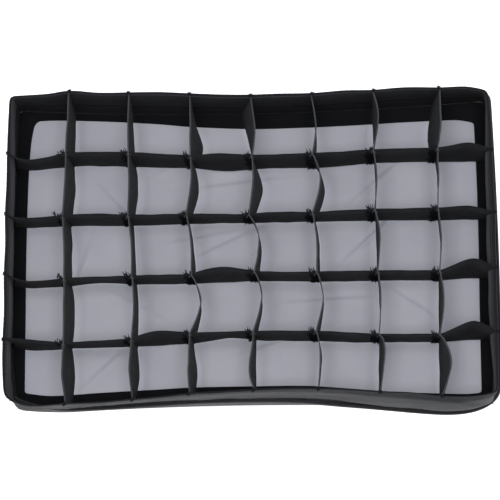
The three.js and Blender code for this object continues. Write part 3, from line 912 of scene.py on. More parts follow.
loop_tape_cloth = tufted("loop tape", (0.010, 0.010, 0.012, 1), (0.035, 0.035, 0.040, 1))
loop_rows = [
    [
        spot - spot.normalized() * (0.25 * abs(wander(spot, 3, 84)))
        for spot in lip_line(level, -1.9)
    ]
    for level in (230, 231, 234, 238, 242, 246, 249, 250)
]
loop_tape = cloth("lip_loop_strip", loop_rows, loop_tape_cloth, round_=True)
give_thickness(loop_tape, 0.9)
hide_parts("lip_loop_tape")
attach(loop_tape, "housing")


# ---------------------------------------------------------------- rods and sleeves
# Four sprung fibreglass rods run from the ring's blocks to the front corners, each in a nylon
# sleeve sewn inside the corner seam, with a rubber tip in the closed end of the sleeve.
ROD_RADIUS = 2.0
ROD_LINE = ((63, 28), (250, 103), (math.hypot(*ROD_END), 204))
ROD_STEPS = 48
TIP_STAGES = (
    (-8.0, 2.9), (-8.0, 3.6), (-7.4, 3.7), (-5.0, 3.7), (-4.6, 3.4), (-4.0, 3.7), (2.8, 3.7),
    (3.7, 3.2), (4.1, 2.2), (4.2, 0.0),
)


def rod_place(angle, t):
    """A point of the rod's line, and the way it runs there."""
    start, bend, end = (Vector(spot) for spot in ROD_LINE)
    reach, height = start * (1 - t) ** 2 + bend * (2 * t * (1 - t)) + end * t ** 2
    run = (bend - start) * (2 * (1 - t)) + (end - bend) * (2 * t)
    across = Vector((math.cos(angle), math.sin(angle), 0))
    return across * reach + Vector((0, 0, height)), (across * run.x + Vector((0, 0, run.y))).normalized()


def swept(name, stations, steps, *finishes, caps=True):
    """Carries a circle along a line of (place, way, radius) and closes its ends."""
    shape = bmesh.new()
    bmesh.ops.create_circle(shape, cap_ends=caps, segments=steps, radius=1.0)
    base = [vert.co.copy() for vert in shape.verts]

    def settle(verts, station):
        place, way, radius = station
        side = Vector((-way.y, way.x, 0)).normalized()
        up = way.cross(side)
        for vert, flat in zip(verts, base):
            vert.co = (place + (side * flat.x + up * flat.y) * radius) * MM

    edges = list(shape.edges)
    settle(list(shape.verts), stations[0])
    for station in stations[1:]:
        made = bmesh.ops.extrude_edge_only(shape, edges=edges)
        fresh = [item for item in made["geom"] if isinstance(item, bmesh.types.BMVert)]
        edges = [item for item in made["geom"] if isinstance(item, bmesh.types.BMEdge)]
        edges = [edge for edge in edges if all(vert in fresh for vert in edge.verts)]
        settle(fresh, station)
    if caps:
        bmesh.ops.edgenet_fill(shape, edges=edges)
    bmesh.ops.recalc_face_normals(shape, faces=shape.faces)
    return piece(name, shape, *finishes)


fibreglass, fibre_streaks = mottled(
    "rod fibreglass", 0.3, 500.0, 4.0, (0.012, 0.012, 0.013, 1), (0.035, 0.035, 0.036, 1), 0.00004,
    coat_weight=0.2,
)
fibreglass.surface("Roughness", fibre_streaks * 0.3 + 0.2)
tip_rubber, _ = mottled(
    "tip rubber", 0.8, 260.0, 4.0, (0.012, 0.012, 0.012, 1), (0.034, 0.033, 0.032, 1), 0.0001
)
sleeve_cloth = woven(
    "sleeve cloth", 0.0010, (0.011, 0.0113, 0.013, 1), (0.026, 0.0265, 0.030, 1), 0.6
)
for i in range(4):
    angle = math.radians(ROD_ANGLES[i])
    stations = [(*rod_place(angle, t / ROD_STEPS), ROD_RADIUS) for t in range(ROD_STEPS + 1)]
    rod = swept(f"sprung_rod_{i + 1}", stations, 16, fibreglass)
    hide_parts(f"rod_{i + 1}")
    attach(rod, "housing")

    end, way = rod_place(angle, 1)
    tip_stations = [(end + way * reach, way, max(radius, 0.05)) for reach, radius in TIP_STAGES]
    tip = swept(f"rubber_tip_{i + 1}", tip_stations, 24, tip_rubber)
    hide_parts(f"rod_tip_{i + 1}")
    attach(tip, "housing")

    sleeve_stations = []
    for step in range(91):
        t = 0.22 + 0.78 * step / 90
        place, way = rod_place(angle, t)
        girth = 5.0 + 0.35 * wander(place, 16, 90 + i) + 0.12 * math.sin(step * 1.7)
        sleeve_stations.append((place, way, girth))
    end, way = rod_place(angle, 1)
    for reach, girth in ((2.5, 5.0), (5.5, 4.9), (7.6, 4.2), (8.4, 2.6), (8.6, 0.3)):
        sleeve_stations.append((end + way * reach, way, girth))
    sleeve = swept(f"rod_sleeve_cloth_{i + 1}", sleeve_stations, 20, sleeve_cloth, caps=False)
    give_thickness(sleeve, 0.6)
    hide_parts(f"rod_sleeve_{i + 1}")
    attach(sleeve, "housing")


# ---------------------------------------------------------------- inner baffle
# A smaller white nylon sheet half way down spreads the lamp's hot spot. It has a narrow hem,
# and four elastic ties hold it by its corners to the rod sleeves.
BAFFLE_Z = 128.5
BAFFLE_HALF = (164.5, 104.7)
BAFFLE_STEPS = 48
TIE_REACH = (191.0, 236.0)

baffle_nylon = Finish("baffle nylon", roughness=0.6)
baffle_spot = baffle_nylon.place()
baffle_tone = baffle_nylon.cloud(baffle_spot, 14.0, 3.0)
baffle_nylon.surface(
    "Base Color", baffle_nylon.mix(baffle_tone, (0.70, 0.70, 0.71, 1), (0.80, 0.80, 0.80, 1))
)
baffle_folds = baffle_nylon.cloud(baffle_spot, 30.0, 4.0)
baffle_nylon.surface("Normal", baffle_nylon.relief(baffle_folds, 0.0012))
baffle_rows = []
for row in range(BAFFLE_STEPS + 1):
    across = 2 * row / BAFFLE_STEPS - 1
    line = []
    for column in range(BAFFLE_STEPS + 1):
        along = 2 * column / BAFFLE_STEPS - 1
        x = along * (BAFFLE_HALF[0] - 5 * (1 - across * across))
        y = across * (BAFFLE_HALF[1] - 4 * (1 - along * along))
        sag = -2.6 * (1 - along * along) * (1 - across * across)
        fold = 0.8 * wander((x, y, 0), 40, 95)
        line.append(Vector((x, y, BAFFLE_Z + sag + fold)))
    baffle_rows.append(line)
baffle = cloth("inner_baffle_sheet", baffle_rows, baffle_nylon)
give_thickness(baffle, 0.4)
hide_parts("inner_baffle")
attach(baffle, "housing")

elastic = woven("elastic tie", 0.0016, (0.012, 0.012, 0.014, 1), (0.05, 0.05, 0.055, 1), 0.75)
for i in range(4):
    angle = math.radians(ROD_ANGLES[i])
    way = Vector((math.cos(angle), math.sin(angle), 0))
    over = Vector((-way.y, way.x, 0))
    tie_rows = []
    for row in range(7):
        across = (row / 6 - 0.5) * 9.0
        line = []
        for step in range(31):
            reach = TIE_REACH[0] + (TIE_REACH[1] - TIE_REACH[0]) * step / 30
            narrow = 1 - 0.15 * math.sin(math.pi * step / 30)
            spot = way * reach + over * (across * narrow)
            line.append(spot + Vector((0, 0, BAFFLE_Z + 0.2 * math.sin(step * 1.9))))
        tie_rows.append(line)
    tie = cloth(f"baffle_elastic_{i + 1}", tie_rows, elastic)
    give_thickness(tie, 1.1)
    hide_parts(f"baffle_tie_{i + 1}")
    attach(tie, "housing")


# ---------------------------------------------------------------- front diffuser
# A sheet of white translucent nylon behind the grid, with a wide black hem that carries the
# hook tape. It hangs a little loose, so it has soft diagonal creases and shallow hollows.
DIFFUSER_Z = 226.5
HEM_OUTER = (295.6, 191.4)
WHITE_TOP = (
    (-277, 172), (-270, 178), (-191, 176), (-120, 171), (-76, 166.5), (0, 162), (76, 162.5),
    (130, 164), (190, 166.5), (240, 168), (262, 168), (283, 164),
)
WHITE_BOTTOM = (
    (-283, -170), (-250, -174), (-188, -171), (-120, -168), (-77, -166), (0, -165.5),
    (70, -166), (120, -170), (180, -175), (230, -177.5), (262, -178.5), (281, -177),
)
WHITE_LEFT = (
    (-174, -282.5), (-80, -283), (0, -283.5), (60, -283), (110, -282), (150, -279.5), (172, -276),
)
WHITE_RIGHT = ((-178, 280), (-80, 281), (0, 282.5), (80, 283), (168, 282))
DIFFUSER_ROWS = 96

white_ring = ring_round(WHITE_TOP, WHITE_BOTTOM, WHITE_LEFT, WHITE_RIGHT, 3)
hem_ring = frame_outline(*HEM_OUTER)


def creased(across, up, creases):
    """The height of a few soft creases. Each is a centre, a lean, a half length and a height."""
    total = 0.0
    for centre_x, centre_y, lean, length, height in creases:
        over = (up - centre_y) * math.cos(lean) - (across - centre_x) * math.sin(lean)
        along = (across - centre_x) * math.cos(lean) + (up - centre_y) * math.sin(lean)
        ridge = math.exp(-(over / 2.6) ** 2) - 0.6 * math.exp(-((over - 6) / 4.0) ** 2)
        total += height * ridge * math.exp(-(along / length) ** 2)
    return total


DIFFUSER_CREASES = (
    (-168, 62, -0.85, 40, 2.1), (-30, 14, 0.42, 44, 1.9), (-60, 22, 0.15, 40, 1.3),
    (-184, -142, 0.75, 30, 2.2), (-150, -60, -0.5, 46, 1.5), (150, 20, 0.75, 46, 2.4),
    (40, -110, 0.3, 52, 1.8), (-215, -20, 1.2, 38, 1.8), (205, -70, -0.6, 42, 2.0),
    (262, 30, 1.45, 60, 2.2), (255, -130, 1.5, 40, 2.2), (-20, 90, 0.1, 60, 1.6),
    (100, -60, 0.05, 50, 1.6), (160, 92, 0.7, 40, 2.2), (-90, 120, 0.5, 36, 1.6),
)


def diffuser_rise(x, y):
    """How the loose sheet stands off its flat plane, in mm."""
    slack = max(0.0, 1 - (x / 285) ** 4) * max(0.0, 1 - (y / 172) ** 4)
    soft = wander((x, y, 0), 120, 31) * 3.0 + wander((x, y, 0), 46, 32) * 1.1
    return -3.2 * slack + (soft + creased(x, y, DIFFUSER_CREASES)) * (slack ** 0.5)


centre_spot = Vector((0, 0))
white_rows = []
for row in range(DIFFUSER_ROWS + 1):
    share = row / DIFFUSER_ROWS
    line = []
    for spot in moved_out(white_ring, 3.0)[::2]:
        inside = centre_spot.lerp(spot, max(share, 0.0005))
        line.append(at_level(inside, DIFFUSER_Z + diffuser_rise(inside.x, inside.y)))
    white_rows.append(line)

diffuser_cloth = Finish("diffuser nylon", roughness=0.62)
diffuser_spot = diffuser_cloth.place()
ripstop_x, ripstop_y, _ = diffuser_cloth.parts(diffuser_spot)
RIPSTOP = 2 * math.pi / 0.0016
threads = abs((ripstop_x * RIPSTOP).sine()) * abs((ripstop_y * RIPSTOP).sine())
mottle = diffuser_cloth.cloud(diffuser_spot, 9.0, 3.0)
diffuser_tone = (mottle * 0.75 + threads * 0.06 + 0.12).clipped(0.2, 0.8)
# The base colour is a lavender grey rather than the cloth's white: painted shade for the depth of the
# grid's cells.
diffuser_cloth.surface(
    "Base Color",
    diffuser_cloth.mix(diffuser_tone, (0.405, 0.413, 0.470, 1), (0.53, 0.532, 0.585, 1)),
)
# A faint lavender glow: painted light standing in for lamp light shining through the sheet, which also
# evens out its shading.
diffuser_cloth.shader.inputs["Emission Color"].default_value = (0.70, 0.73, 0.90, 1)
diffuser_cloth.shader.inputs["Emission Strength"].default_value = 0.055
soft_folds = diffuser_cloth.cloud(diffuser_spot, 26.0, 2.0)
diffuser_under = diffuser_cloth.relief(soft_folds, 0.0016)
diffuser_cloth.surface("Normal", diffuser_cloth.relief(threads, 0.00004, diffuser_under))

diffuser = cloth("diffuser_sheet", white_rows, diffuser_cloth, round_=True)
give_thickness(diffuser, 0.35)
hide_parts("front_diffuser")
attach(diffuser, "diffuser")

HEM_ROWS = 10
hem_rows = []
for row in range(HEM_ROWS + 1):
    share = row / HEM_ROWS
    line = []
    for inner, outer in zip(white_ring, hem_ring):
        spot = inner.lerp(outer, share)
        lift = 1.5 + 0.5 * wander((spot.x, spot.y, 0), 26, 41) * (1 - share)
        line.append(at_level(spot, DIFFUSER_Z + lift))
    hem_rows.append(line)
hem_cloth = woven("diffuser hem", 0.0012, (0.004, 0.0042, 0.006, 1), (0.009, 0.0095, 0.012, 1), 0.7)
diffuser_hem = cloth("diffuser_hem_band", hem_rows, hem_cloth, round_=True)
give_thickness(diffuser_hem, 1.0)
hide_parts("diffuser_border")
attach(diffuser_hem, "diffuser")


# ---------------------------------------------------------------- grid border
# The outer wall of the grid, 68 mm deep. It is sewn to the rim binding at the front and is
# free at the back. Its lower side is slack: it bulges outwards below the rim.
RIM_Z = 299.2
GRID_BACK_Z = 231.6
WALL_ROWS = 22
SIDE_WALL_X = 289
WALL_DEPTH = 68
TAPE_SHARE = 0.22
BACK_HALF = (296.2, 191.8)
# Where the rim runs, in mm: along the side, then across it.
RIM_TOP = (
    (-296, 190), (-246, 192), (-220, 195.5), (-185, 192), (-147, 191.5), (-108, 191),
    (-72, 188.5), (-35, 186), (4, 185), (40, 185.5), (79, 185.5), (118, 188), (153, 188),
    (190, 190.5), (236, 189.5), (267, 190), (295, 184),
)
RIM_BOTTOM = (
    (-296, -181), (-268, -193), (-221, -191.5), (-180, -190.5), (-141, -187.5), (-108, -185),
    (-72, -181.5), (-35, -180), (5, -178), (42, -177), (81, -177.5), (118, -179.5),
    (154, -182.5), (190, -184), (227, -188.5), (266, -189), (295, -184),
)
RIM_LEFT = (
    (-193, -293), (-150, -296), (-112, -296.5), (-75, -295.5), (-33, -296.5), (5, -295.5),
    (40, -296.5), (80, -295.5), (118, -295.5), (155, -295), (190, -294),
)
RIM_RIGHT = (
    (-193, 292), (-150, 293.5), (-113, 294.5), (-75, 294.5), (-36, 295.5), (0, 295.2),
    (32, 296.5), (72, 295.5), (111, 295.5), (150, 295), (184, 293),
)
# How far the slack wall stands out of the straight line from rim to back, by x, in mm.
SLACK_BOTTOM = (
    (-296, 1), (-258, 1.5), (-228, 3), (-185, 2), (-124, 1.5), (-63, 1.5), (10, 1.5),
    (60, 3), (95, 5), (140, 9), (179, 12), (230, 14), (263, 12), (288, 6), (296, 4),
)
BOTTOM_CREASES = (
    (120, 272, 0.13, 90, 2.6), (215, 256, -0.06, 80, 2.2), (60, 281, 0.22, 50, 1.6),
    (175, 286, 0.16, 60, 1.8), (-205, 272, 0.3, 60, 2.2), (-245, 257, -0.3, 45, 2.4),
    (-110, 276, 0.15, 60, 1.4), (0, 264, -0.1, 60, 1.4), (258, 282, -0.5, 30, 2.0),
)
SLACK_TOP = ((-296, 0), (-200, 2), (-60, 0.5), (70, 1), (200, 2), (296, 0))

# The short walls are drawn in between the rim and the tape by the strips' pull, by y, in mm.
DRAWN_IN_RIGHT = (
    (-193, 0), (-168, 5), (-120, 15), (-60, 17), (0, 18), (60, 16), (120, 12), (165, 5), (193, 0),
)
DRAWN_IN_LEFT = (
    (-193, 0), (-168, 4), (-120, 10), (-60, 12), (0, 12), (60, 12), (120, 9), (165, 4), (193, 0),
)

rim_ring = ring_round(RIM_TOP, RIM_BOTTOM, RIM_LEFT, RIM_RIGHT)
back_ring = frame_outline(*BACK_HALF)


def bulge(share):
    """The wall's slack between its back and its rim, where it is held, as a share of the most."""
    return math.sin(math.pi * max(0.0, share) ** 0.9)


def drawn_in(edge, y, share):
    """How far a short wall is drawn in at a place along it; only the part in front of the tape."""
    return read_edge(edge, y) * bulge(share) * max(0.0, share - TAPE_SHARE) / (1 - TAPE_SHARE)


def wall_share(level):
    """The share of the wall's depth at a height: 0 at its back and 1 at its rim."""
    return (level - GRID_BACK_Z) / (RIM_Z - GRID_BACK_Z)


def wall_spot(index, share, out=0.0):
    """A point of the border's wall: share runs from 0 at the back to 1 at the rim."""
    front, back = rim_ring[index], back_ring[index]
    spot = back.lerp(front, share)
    belly = bulge(share)
    if spot.y < -150:
        spot.y -= read_edge(SLACK_BOTTOM, spot.x) * belly
        spot.y -= creased(spot.x, GRID_BACK_Z + WALL_DEPTH * share, BOTTOM_CREASES) * belly * share
    elif spot.y > 150:
        spot.y += read_edge(SLACK_TOP, spot.x) * belly
    if spot.x > SIDE_WALL_X:
        spot.x -= drawn_in(DRAWN_IN_RIGHT, spot.y, share)
    elif spot.x < -SIDE_WALL_X:
        spot.x += drawn_in(DRAWN_IN_LEFT, spot.y, share)
    z = GRID_BACK_Z + (RIM_Z - GRID_BACK_Z) * share
    loose = 1.4 if spot.y < -150 else 0.6
    ripple = wander((spot.x, spot.y, z * 1.6), 34, 1) + 0.5 * wander((spot.x, spot.y, z), 13, 2)
    return at_level(spot + spot.normalized() * (out + ripple * loose * belly), z)


grid_cloth = woven("grid cloth", 0.0009, (0.006, 0.0064, 0.0085, 1), (0.015, 0.0156, 0.019, 1))
wall_rows = [
    [wall_spot(i, row / WALL_ROWS) for i in range(len(rim_ring))] for row in range(WALL_ROWS + 1)
]
# The short walls' inner faces are painted lighter than the grid cloth, as painted light from the side
# lamps, and the outer face is painted lighter too, as painted light on its slack, upward-leaning faces.
side_wall_painted_lit_cloth = woven("side wall painted lit cloth", 0.0009, (0.034, 0.035, 0.040, 1), (0.066, 0.068, 0.075, 1))
outer_wall_painted_lit_cloth = woven(
    "outer wall painted lit cloth", 0.0009, (0.026, 0.0268, 0.030, 1), (0.064, 0.065, 0.070, 1), 0.7
)
grid_border = cloth(
    "grid_border_wall", wall_rows, outer_wall_painted_lit_cloth, outer_wall_painted_lit_cloth, grid_cloth, side_wall_painted_lit_cloth,
    round_=True, face_from=(0, 0, 265),
)
# Faces that look along X belong to the short walls, whose inner faces get the cloth painted lighter for
# side light.
for face in grid_border.data.polygons:
    face.material_index = 1 if abs(face.normal.x) > abs(face.normal.y) else 0
give_thickness(grid_border, 0.9).material_offset = 2
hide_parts("grid_border")
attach(grid_border, "grid")


# ---------------------------------------------------------------- rim binding
# A folded polyester tape closes the front edge of the border and is sewn through with
# one row of lock stitches. The thread is grey-black and catches the light.
BINDING_PROFILE = (
    (-1.2, -6.2), (-1.35, -4.0), (-1.4, -1.5), (-1.15, 0.6), (-0.5, 1.4), (0.3, 1.6),
    (1.1, 1.1), (1.5, 0.0), (1.6, -2.0), (1.55, -4.0), (1.5, -6.5), (1.5, -9.0),
    (1.35, -10.4), (0.6, -10.8), (0.5, -8.6), (-0.5, -6.6),
)
binding_cloth = woven(
    "binding tape", 0.0011, (0.0035, 0.0038, 0.0062, 1), (0.009, 0.0096, 0.0135, 1), 0.66, 0.0003, 0.05
)
binding_rows = []
for out, up in BINDING_PROFILE:
    row = []
    share = min(1.0, wall_share(RIM_Z + up))
    for i in range(len(rim_ring)):
        spot = wall_spot(i, share, out)
        pucker = 0.35 * math.sin(i * 2.1) + 0.5 * wander((spot.x, spot.y, up), 9, 5)
        lift = 0.5 * wander((spot.x, spot.y, 0), 40, 6)
        spot = wall_spot(i, share, out * (1 + 0.14 * pucker))
        row.append(at_level(spot, RIM_Z + up + lift))
    binding_rows.append(row)
rim_binding = cloth("grid_rim_tape", binding_rows, binding_cloth, round_=True, tube=True)
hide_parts("grid_rim_binding")
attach(rim_binding, "grid")


# ---------------------------------------------------------------- grid hook tape
# Hook tape is sewn round the outside of the wall's rear edge, through a facing tape on the
# inside. It presses into the lip's loop tape, and the grid peels off it. The facing tape's
# near-black colour is painted shade for the back of the cells.
hook_tape_cloth = tufted("hook tape", (0.012, 0.012, 0.013, 1), (0.045, 0.045, 0.050, 1))
hook_rows = [
    [wall_spot(i, wall_share(level), 1.1) for i in range(len(rim_ring))]
    for level in (233, 234, 237, 240, 243, 246, 248, 249)
]
hook_tape = cloth("grid_hook_strip", hook_rows, hook_tape_cloth, round_=True)
give_thickness(hook_tape, 0.8)
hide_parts("grid_hook_tape")
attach(hook_tape, "grid")

# A real facing tape, but its near-black colour is painted shade for the deep back of the cells.
facing_tape_painted_shade_cloth = woven("facing tape", 0.0012, (0.002, 0.0021, 0.0035, 1), (0.0045, 0.0047, 0.007, 1))
facing_rows = []
for level in (232.2, 233, 236, 239, 242, 245, 248, 251, 253.5, 254.5):
    line = []
    for i in range(len(rim_ring)):
        spot = wall_spot(i, wall_share(level), -0.9)
        line.append(spot + Vector((0, 0, 1.1 * wander(spot, 35, 45) * (level > 250))))
    facing_rows.append(line)
facing_tape = cloth("grid_facing_tape", facing_rows, facing_tape_painted_shade_cloth, round_=True)
give_thickness(facing_tape, 0.7)
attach(facing_tape, "grid")


# ---------------------------------------------------------------- grid dividers
# Eleven strips of the same polyester stand on edge and make forty cells. Upright strips are
# slit from the back and cross strips from the front, half way, so that they lock together.
# They are soft: each one sags sideways between its crossings, more at one edge than the other.
CELL = (74.25, 75.0)
UPRIGHT_X = [CELL[0] * (i - 3) for i in range(7)]
CROSS_Y = [CELL[1] * (1.5 - i) for i in range(4)]
STRIP_FRONT_Z = 298.0
STRIP_BACK_Z = 232.4
HEM_FROM_Z = 290
STRIP_STEPS = 16
STRIP_ROWS = 12

# How far each crossing has drifted, in mm: at the front edges, then at the back edges.
FRONT_DRIFT = (
    ((-2, 5), (1, 4), (3, -2), (4, -3), (4, -2), (4, 1), (8, 2)),
    ((-5, 1), (1, 0), (-2, 0), (0, -2), (3, -1), (4, 2), (6, 2)),
    ((-2, -2), (6, 0), (4, 0), (6, 3), (7, 1), (6, 1), (6, 0)),
    ((-2, -6), (6, -2), (2, 4), (4, 5), (5, 4), (6, -1), (4, -2)),
)
BACK_DRIFT = (
    ((-1, 4), (3, 2), (4, -1), (6, -4), (8, -4), (7, 1), (9, 1)),
    ((-4, 2), (1, 1), (-3, 2), (2, 2), (6, 2), (7, 2), (10, 1)),
    ((-2, 0), (5, 1), (5, 1), (8, 3), (10, 1), (8, 1), (9, 0)),
    ((-1, -3), (6, -2), (2, 1), (5, 4), (7, 2), (8, -1), (7, -2)),
)
# How far each stretch sags to +X (uprights) or +Y (cross strips): front edge, back edge,
# and how far along the stretch it is deepest, where that isn't the usual place.
USUAL_PEAK = 0.44
SAG_SHAPE = 1.55
UPRIGHT_SAG = (
    ((0, 1), (1, 3), (1, 1), (0, 4), (-3, 4, 0.5)),
    ((-1, -1), (1, 4), (2, 0), (3, 2), (-3, 4, 0.55)),
    ((0, 11, 0.64), (3, 7), (3, 2), (13, 8, 0.47), (-2, 5, 0.62)),
    ((5, 0, 0.6), (3, 10, 0.4), (10, 8, 0.42), (10, 6, 0.42), (-6, 0, 0.66)),
    ((5, 2, 0.55), (10, 11, 0.45), (3, 3), (8, 6, 0.42), (4, 5, 0.36)),
    ((7, 0), (4, 1), (5, 0), (3, 2), (7, 0, 0.27)),
    ((3, -7, 0.6), (1, 2), (3, 3), (5, 0), (13, 0, 0.44)),
)
CROSS_SAG = (
    ((-9, -1, 0.38), (0, 1), (0, 0), (2, -3, 0.5), (0, 1), (0, 0), (0, 0), (7, 0, 0.6)),
    ((-4, 0, 0.38), (2, 0), (0, 0), (0, 0), (2, 0), (0, 0), (0, 0), (6, 1, 0.6)),
    ((-7, -1, 0.38), (0, 3), (0, 0), (7, 0, 0.46), (-1, 0), (0, 0), (0, 0), (13, 2, 0.6)),
    ((1, -4, 0.38), (0, 0), (6, 0), (0, 4, 0.6), (0, -1), (0, -1), (0, 0), (14, 1, 0.6)),
)
# Where the strips meet the wall, in mm from their straight places: front, then back.
UPRIGHT_TOP_ENDS = ((1, 0), (2, 0), (3, 2), (4, -11), (4, 6), (5, 6), (13, 6))
UPRIGHT_BOTTOM_ENDS = ((2, 0), (8, 4), (2, 1), (5, 4), (7, 5), (6, 6), (4, 6))
CROSS_LEFT_ENDS = (5.5, 2.5, 4.5, 0.5)
CROSS_RIGHT_ENDS = (-1.5, -5.5, 1.5, -0.5)


def wall_at(place, share, side):
    """The border's inner face beside a strip's end, where the strip is sewn to it."""
    way = 1 if side in ("top", "right") else -1
    if side in ("top", "bottom"):
        front = read_edge(RIM_TOP if way > 0 else RIM_BOTTOM, place)
        back = BACK_HALF[1] - LONG_BOW * (1 - (place / BACK_HALF[0]) ** 2)
        slack = read_edge(SLACK_TOP if way > 0 else SLACK_BOTTOM, place) * bulge(share)
    else:
        front = read_edge(RIM_RIGHT if way > 0 else RIM_LEFT, place)
        back = BACK_HALF[0] + SHORT_BOW * (1 - (place / BACK_HALF[1]) ** 2)
        slack = -drawn_in(DRAWN_IN_RIGHT if way > 0 else DRAWN_IN_LEFT, place, share)
    return way * back + (front - way * back) * share + way * (slack - 1.0)


def crossing(row, column, share):
    front, back = FRONT_DRIFT[row][column], BACK_DRIFT[row][column]
    return Vector((
        UPRIGHT_X[column] + back[0] + (front[0] - back[0]) * share,
        CROSS_Y[row] + back[1] + (front[1] - back[1]) * share,
    ))


def upright_end(column, share, side, ends):
    front, back = ends[column]
    x = UPRIGHT_X[column] + back + (front - back) * share
    return Vector((x, wall_at(x, share, side)))


def cross_end(row, share, side, ends):
    y = CROSS_Y[row] + ends[row] * share
    return Vector((wall_at(y, share, side), y))


def upright_knots(column, share):
    """An upright's fixed points from the top wall down to the bottom wall."""
    return [
        upright_end(column, share, "top", UPRIGHT_TOP_ENDS),
        *(crossing(row, column, share) for row in range(4)),
        upright_end(column, share, "bottom", UPRIGHT_BOTTOM_ENDS),
    ]


def cross_knots(row, share):
    """A cross strip's fixed points from the left wall to the right wall."""
    return [
        cross_end(row, share, "left", CROSS_LEFT_ENDS),
        *(crossing(row, column, share) for column in range(7)),
        cross_end(row, share, "right", CROSS_RIGHT_ENDS),
    ]


def strip_level(share):
    """The height of a strip's edge or of a place between its edges."""
    return STRIP_BACK_Z + (STRIP_FRONT_Z - STRIP_BACK_Z) * share


def strip_rows(knots_at, number, sags, sideways, seed):
    rows = []
    for row in range(STRIP_ROWS + 1):
        share = row / STRIP_ROWS
        knots = knots_at(number, share)
        line = []
        for stretch in range(len(knots) - 1):
            start, end = knots[stretch], knots[stretch + 1]
            front, back, *peak = sags[stretch]
            sag = back + (front - back) * (share ** 1.15)
            peak = peak[0] if peak else USUAL_PEAK
            steps = range(STRIP_STEPS + (1 if stretch == len(knots) - 2 else 0))
            for step in steps:
                t = step / STRIP_STEPS
                eased = t ** (math.log(0.5) / math.log(peak))
                swell = 1 - abs(2 * eased - 1) ** SAG_SHAPE
                spot = start.lerp(end, t) + sideways * (sag * swell)
                level = strip_level(share)
                ripple = wander((spot.x, spot.y, level * 1.4), 21, seed) * swell * 0.9
                edge_dip = 0.9 * swell * wander((spot.x, spot.y, 0), 30, seed + 3)
                level += (edge_dip - abs(edge_dip) * 0.3) * share ** 3
                line.append(at_level(spot + sideways * ripple, level))
        rows.append(line)
    return rows


def add_strip(name, node, rows, finish):
    """Makes a divider. Its front edge is folded over once, so it is twice as thick there."""
    strip = cloth(name, rows, finish)
    folded = give_thickness(strip, 1.5)
    group = strip.vertex_groups.new(name="hem")
    for vert in strip.data.vertices:
        group.add([vert.index], 1.0 if vert.co.z / MM >= HEM_FROM_Z else 0.0, "REPLACE")
    folded.vertex_group = "hem"
    folded.thickness_vertex_group = 0.5
    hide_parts(node)
    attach(strip, "grid")


# One cloth in two tones: the uprights are painted lighter, as painted light from the side lamps, and the
# cross strips darker, as painted shade inside the cells.
upright_painted_lit_cloth = woven(
    "upright strip painted lit cloth", 0.0009, (0.010, 0.0105, 0.0128, 1), (0.021, 0.022, 0.0255, 1), 0.8,
    edge=(0.2962, (0.060, 0.062, 0.068, 1)),
)
cross_painted_shade_cloth = woven(
    "cross strip painted shade cloth", 0.0009, (0.0038, 0.0041, 0.0056, 1), (0.0085, 0.009, 0.0115, 1), 0.8
)
for column in range(7):
    rows = strip_rows(upright_knots, column, UPRIGHT_SAG[column], Vector((1, 0)), 10 + column)
    add_strip(
        f"grid_upright_{column + 1}", f"grid_divider_v{column + 1}", rows, upright_painted_lit_cloth
    )
for number in range(4):
    rows = strip_rows(cross_knots, number, CROSS_SAG[number], Vector((0, 1)), 20 + number)
    add_strip(f"grid_cross_{number + 1}", f"grid_divider_h{number + 1}", rows, cross_painted_shade_cloth)


# ---------------------------------------------------------------- crossing threads
# Each crossing is tacked by hand through both strips. Beside it the cross strip's slit is
# overcast with black thread, and the cut ends stand up in a short stiff tuft.
THREAD_STEPS = 5
draw = random.Random(7)

thread_black, _ = mottled(
    "overcast thread", 0.7, 1400.0, 2.0, (0.0025, 0.0025, 0.004, 1), (0.008, 0.0085, 0.013, 1), 0.0002
)
thread_black.shader.inputs["Specular IOR Level"].default_value = 0.12


def add_thread(shape, start, end, root, tip):
    """One end of thread, or one stitch, from start to end, in mm."""
    run = end - start
    turn = run.to_track_quat("Z", "X").to_matrix().to_4x4()
    place = Matrix.Translation((start + end) / 2 * MM) @ turn
    bmesh.ops.create_cone(
        shape, cap_ends=True, segments=THREAD_STEPS, radius1=root * MM, radius2=tip * MM,
        depth=run.length * MM, matrix=place,
    )


def cross_at(row, column, before, share):
    """A point of a cross strip a little before (left of) one of its crossings."""
    last, here = cross_knots(row, share)[column:column + 2]
    return at_level(here + (last - here).normalized() * before, strip_level(share))


# Each tuft: where its threads start along the strip and at which edge, how they lean, how long
# they are, and their radius at the root and at the tip.
FRONT_TUFT = ((0.5, 8.5), 1.0, ((-0.85, 0.25), (0.5, 1.0), (0.0, 0.7)), (2.2, 7.0), (0.85, 0.3))
BACK_TUFT = ((-1.0, 9.5), 0.0, ((-0.5, 0.4), (-1.0, -0.5), (-0.2, 0.6)), (1.4, 3.2), (0.8, 0.35))
CROSSINGS = [(row, column) for row in range(4) for column in range(7)]
tufts = bmesh.new()
for row, column in CROSSINGS:
    for along, share, leans, lengths, radii in (FRONT_TUFT, BACK_TUFT):
        for _ in range(9):
            root = cross_at(row, column, draw.uniform(*along), share)
            lean = Vector([draw.uniform(*span) for span in leans]).normalized()
            add_thread(tufts, root, root + lean * draw.uniform(*lengths), *radii)
    for step in range(15):
        share = (step + 0.5) / 15
        left = cross_at(row, column, 9.5 + draw.uniform(-2.5, 2.5), share)
        right = cross_at(row, column, -0.5, share + draw.uniform(-0.05, 0.05))
        side = Vector((0, -0.95, 0))
        add_thread(tufts, left + side, right + side, 0.55, 0.55)
crossing_threads = piece("crossing_threads", tufts, thread_black, smooth=False)
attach(crossing_threads, "grid")

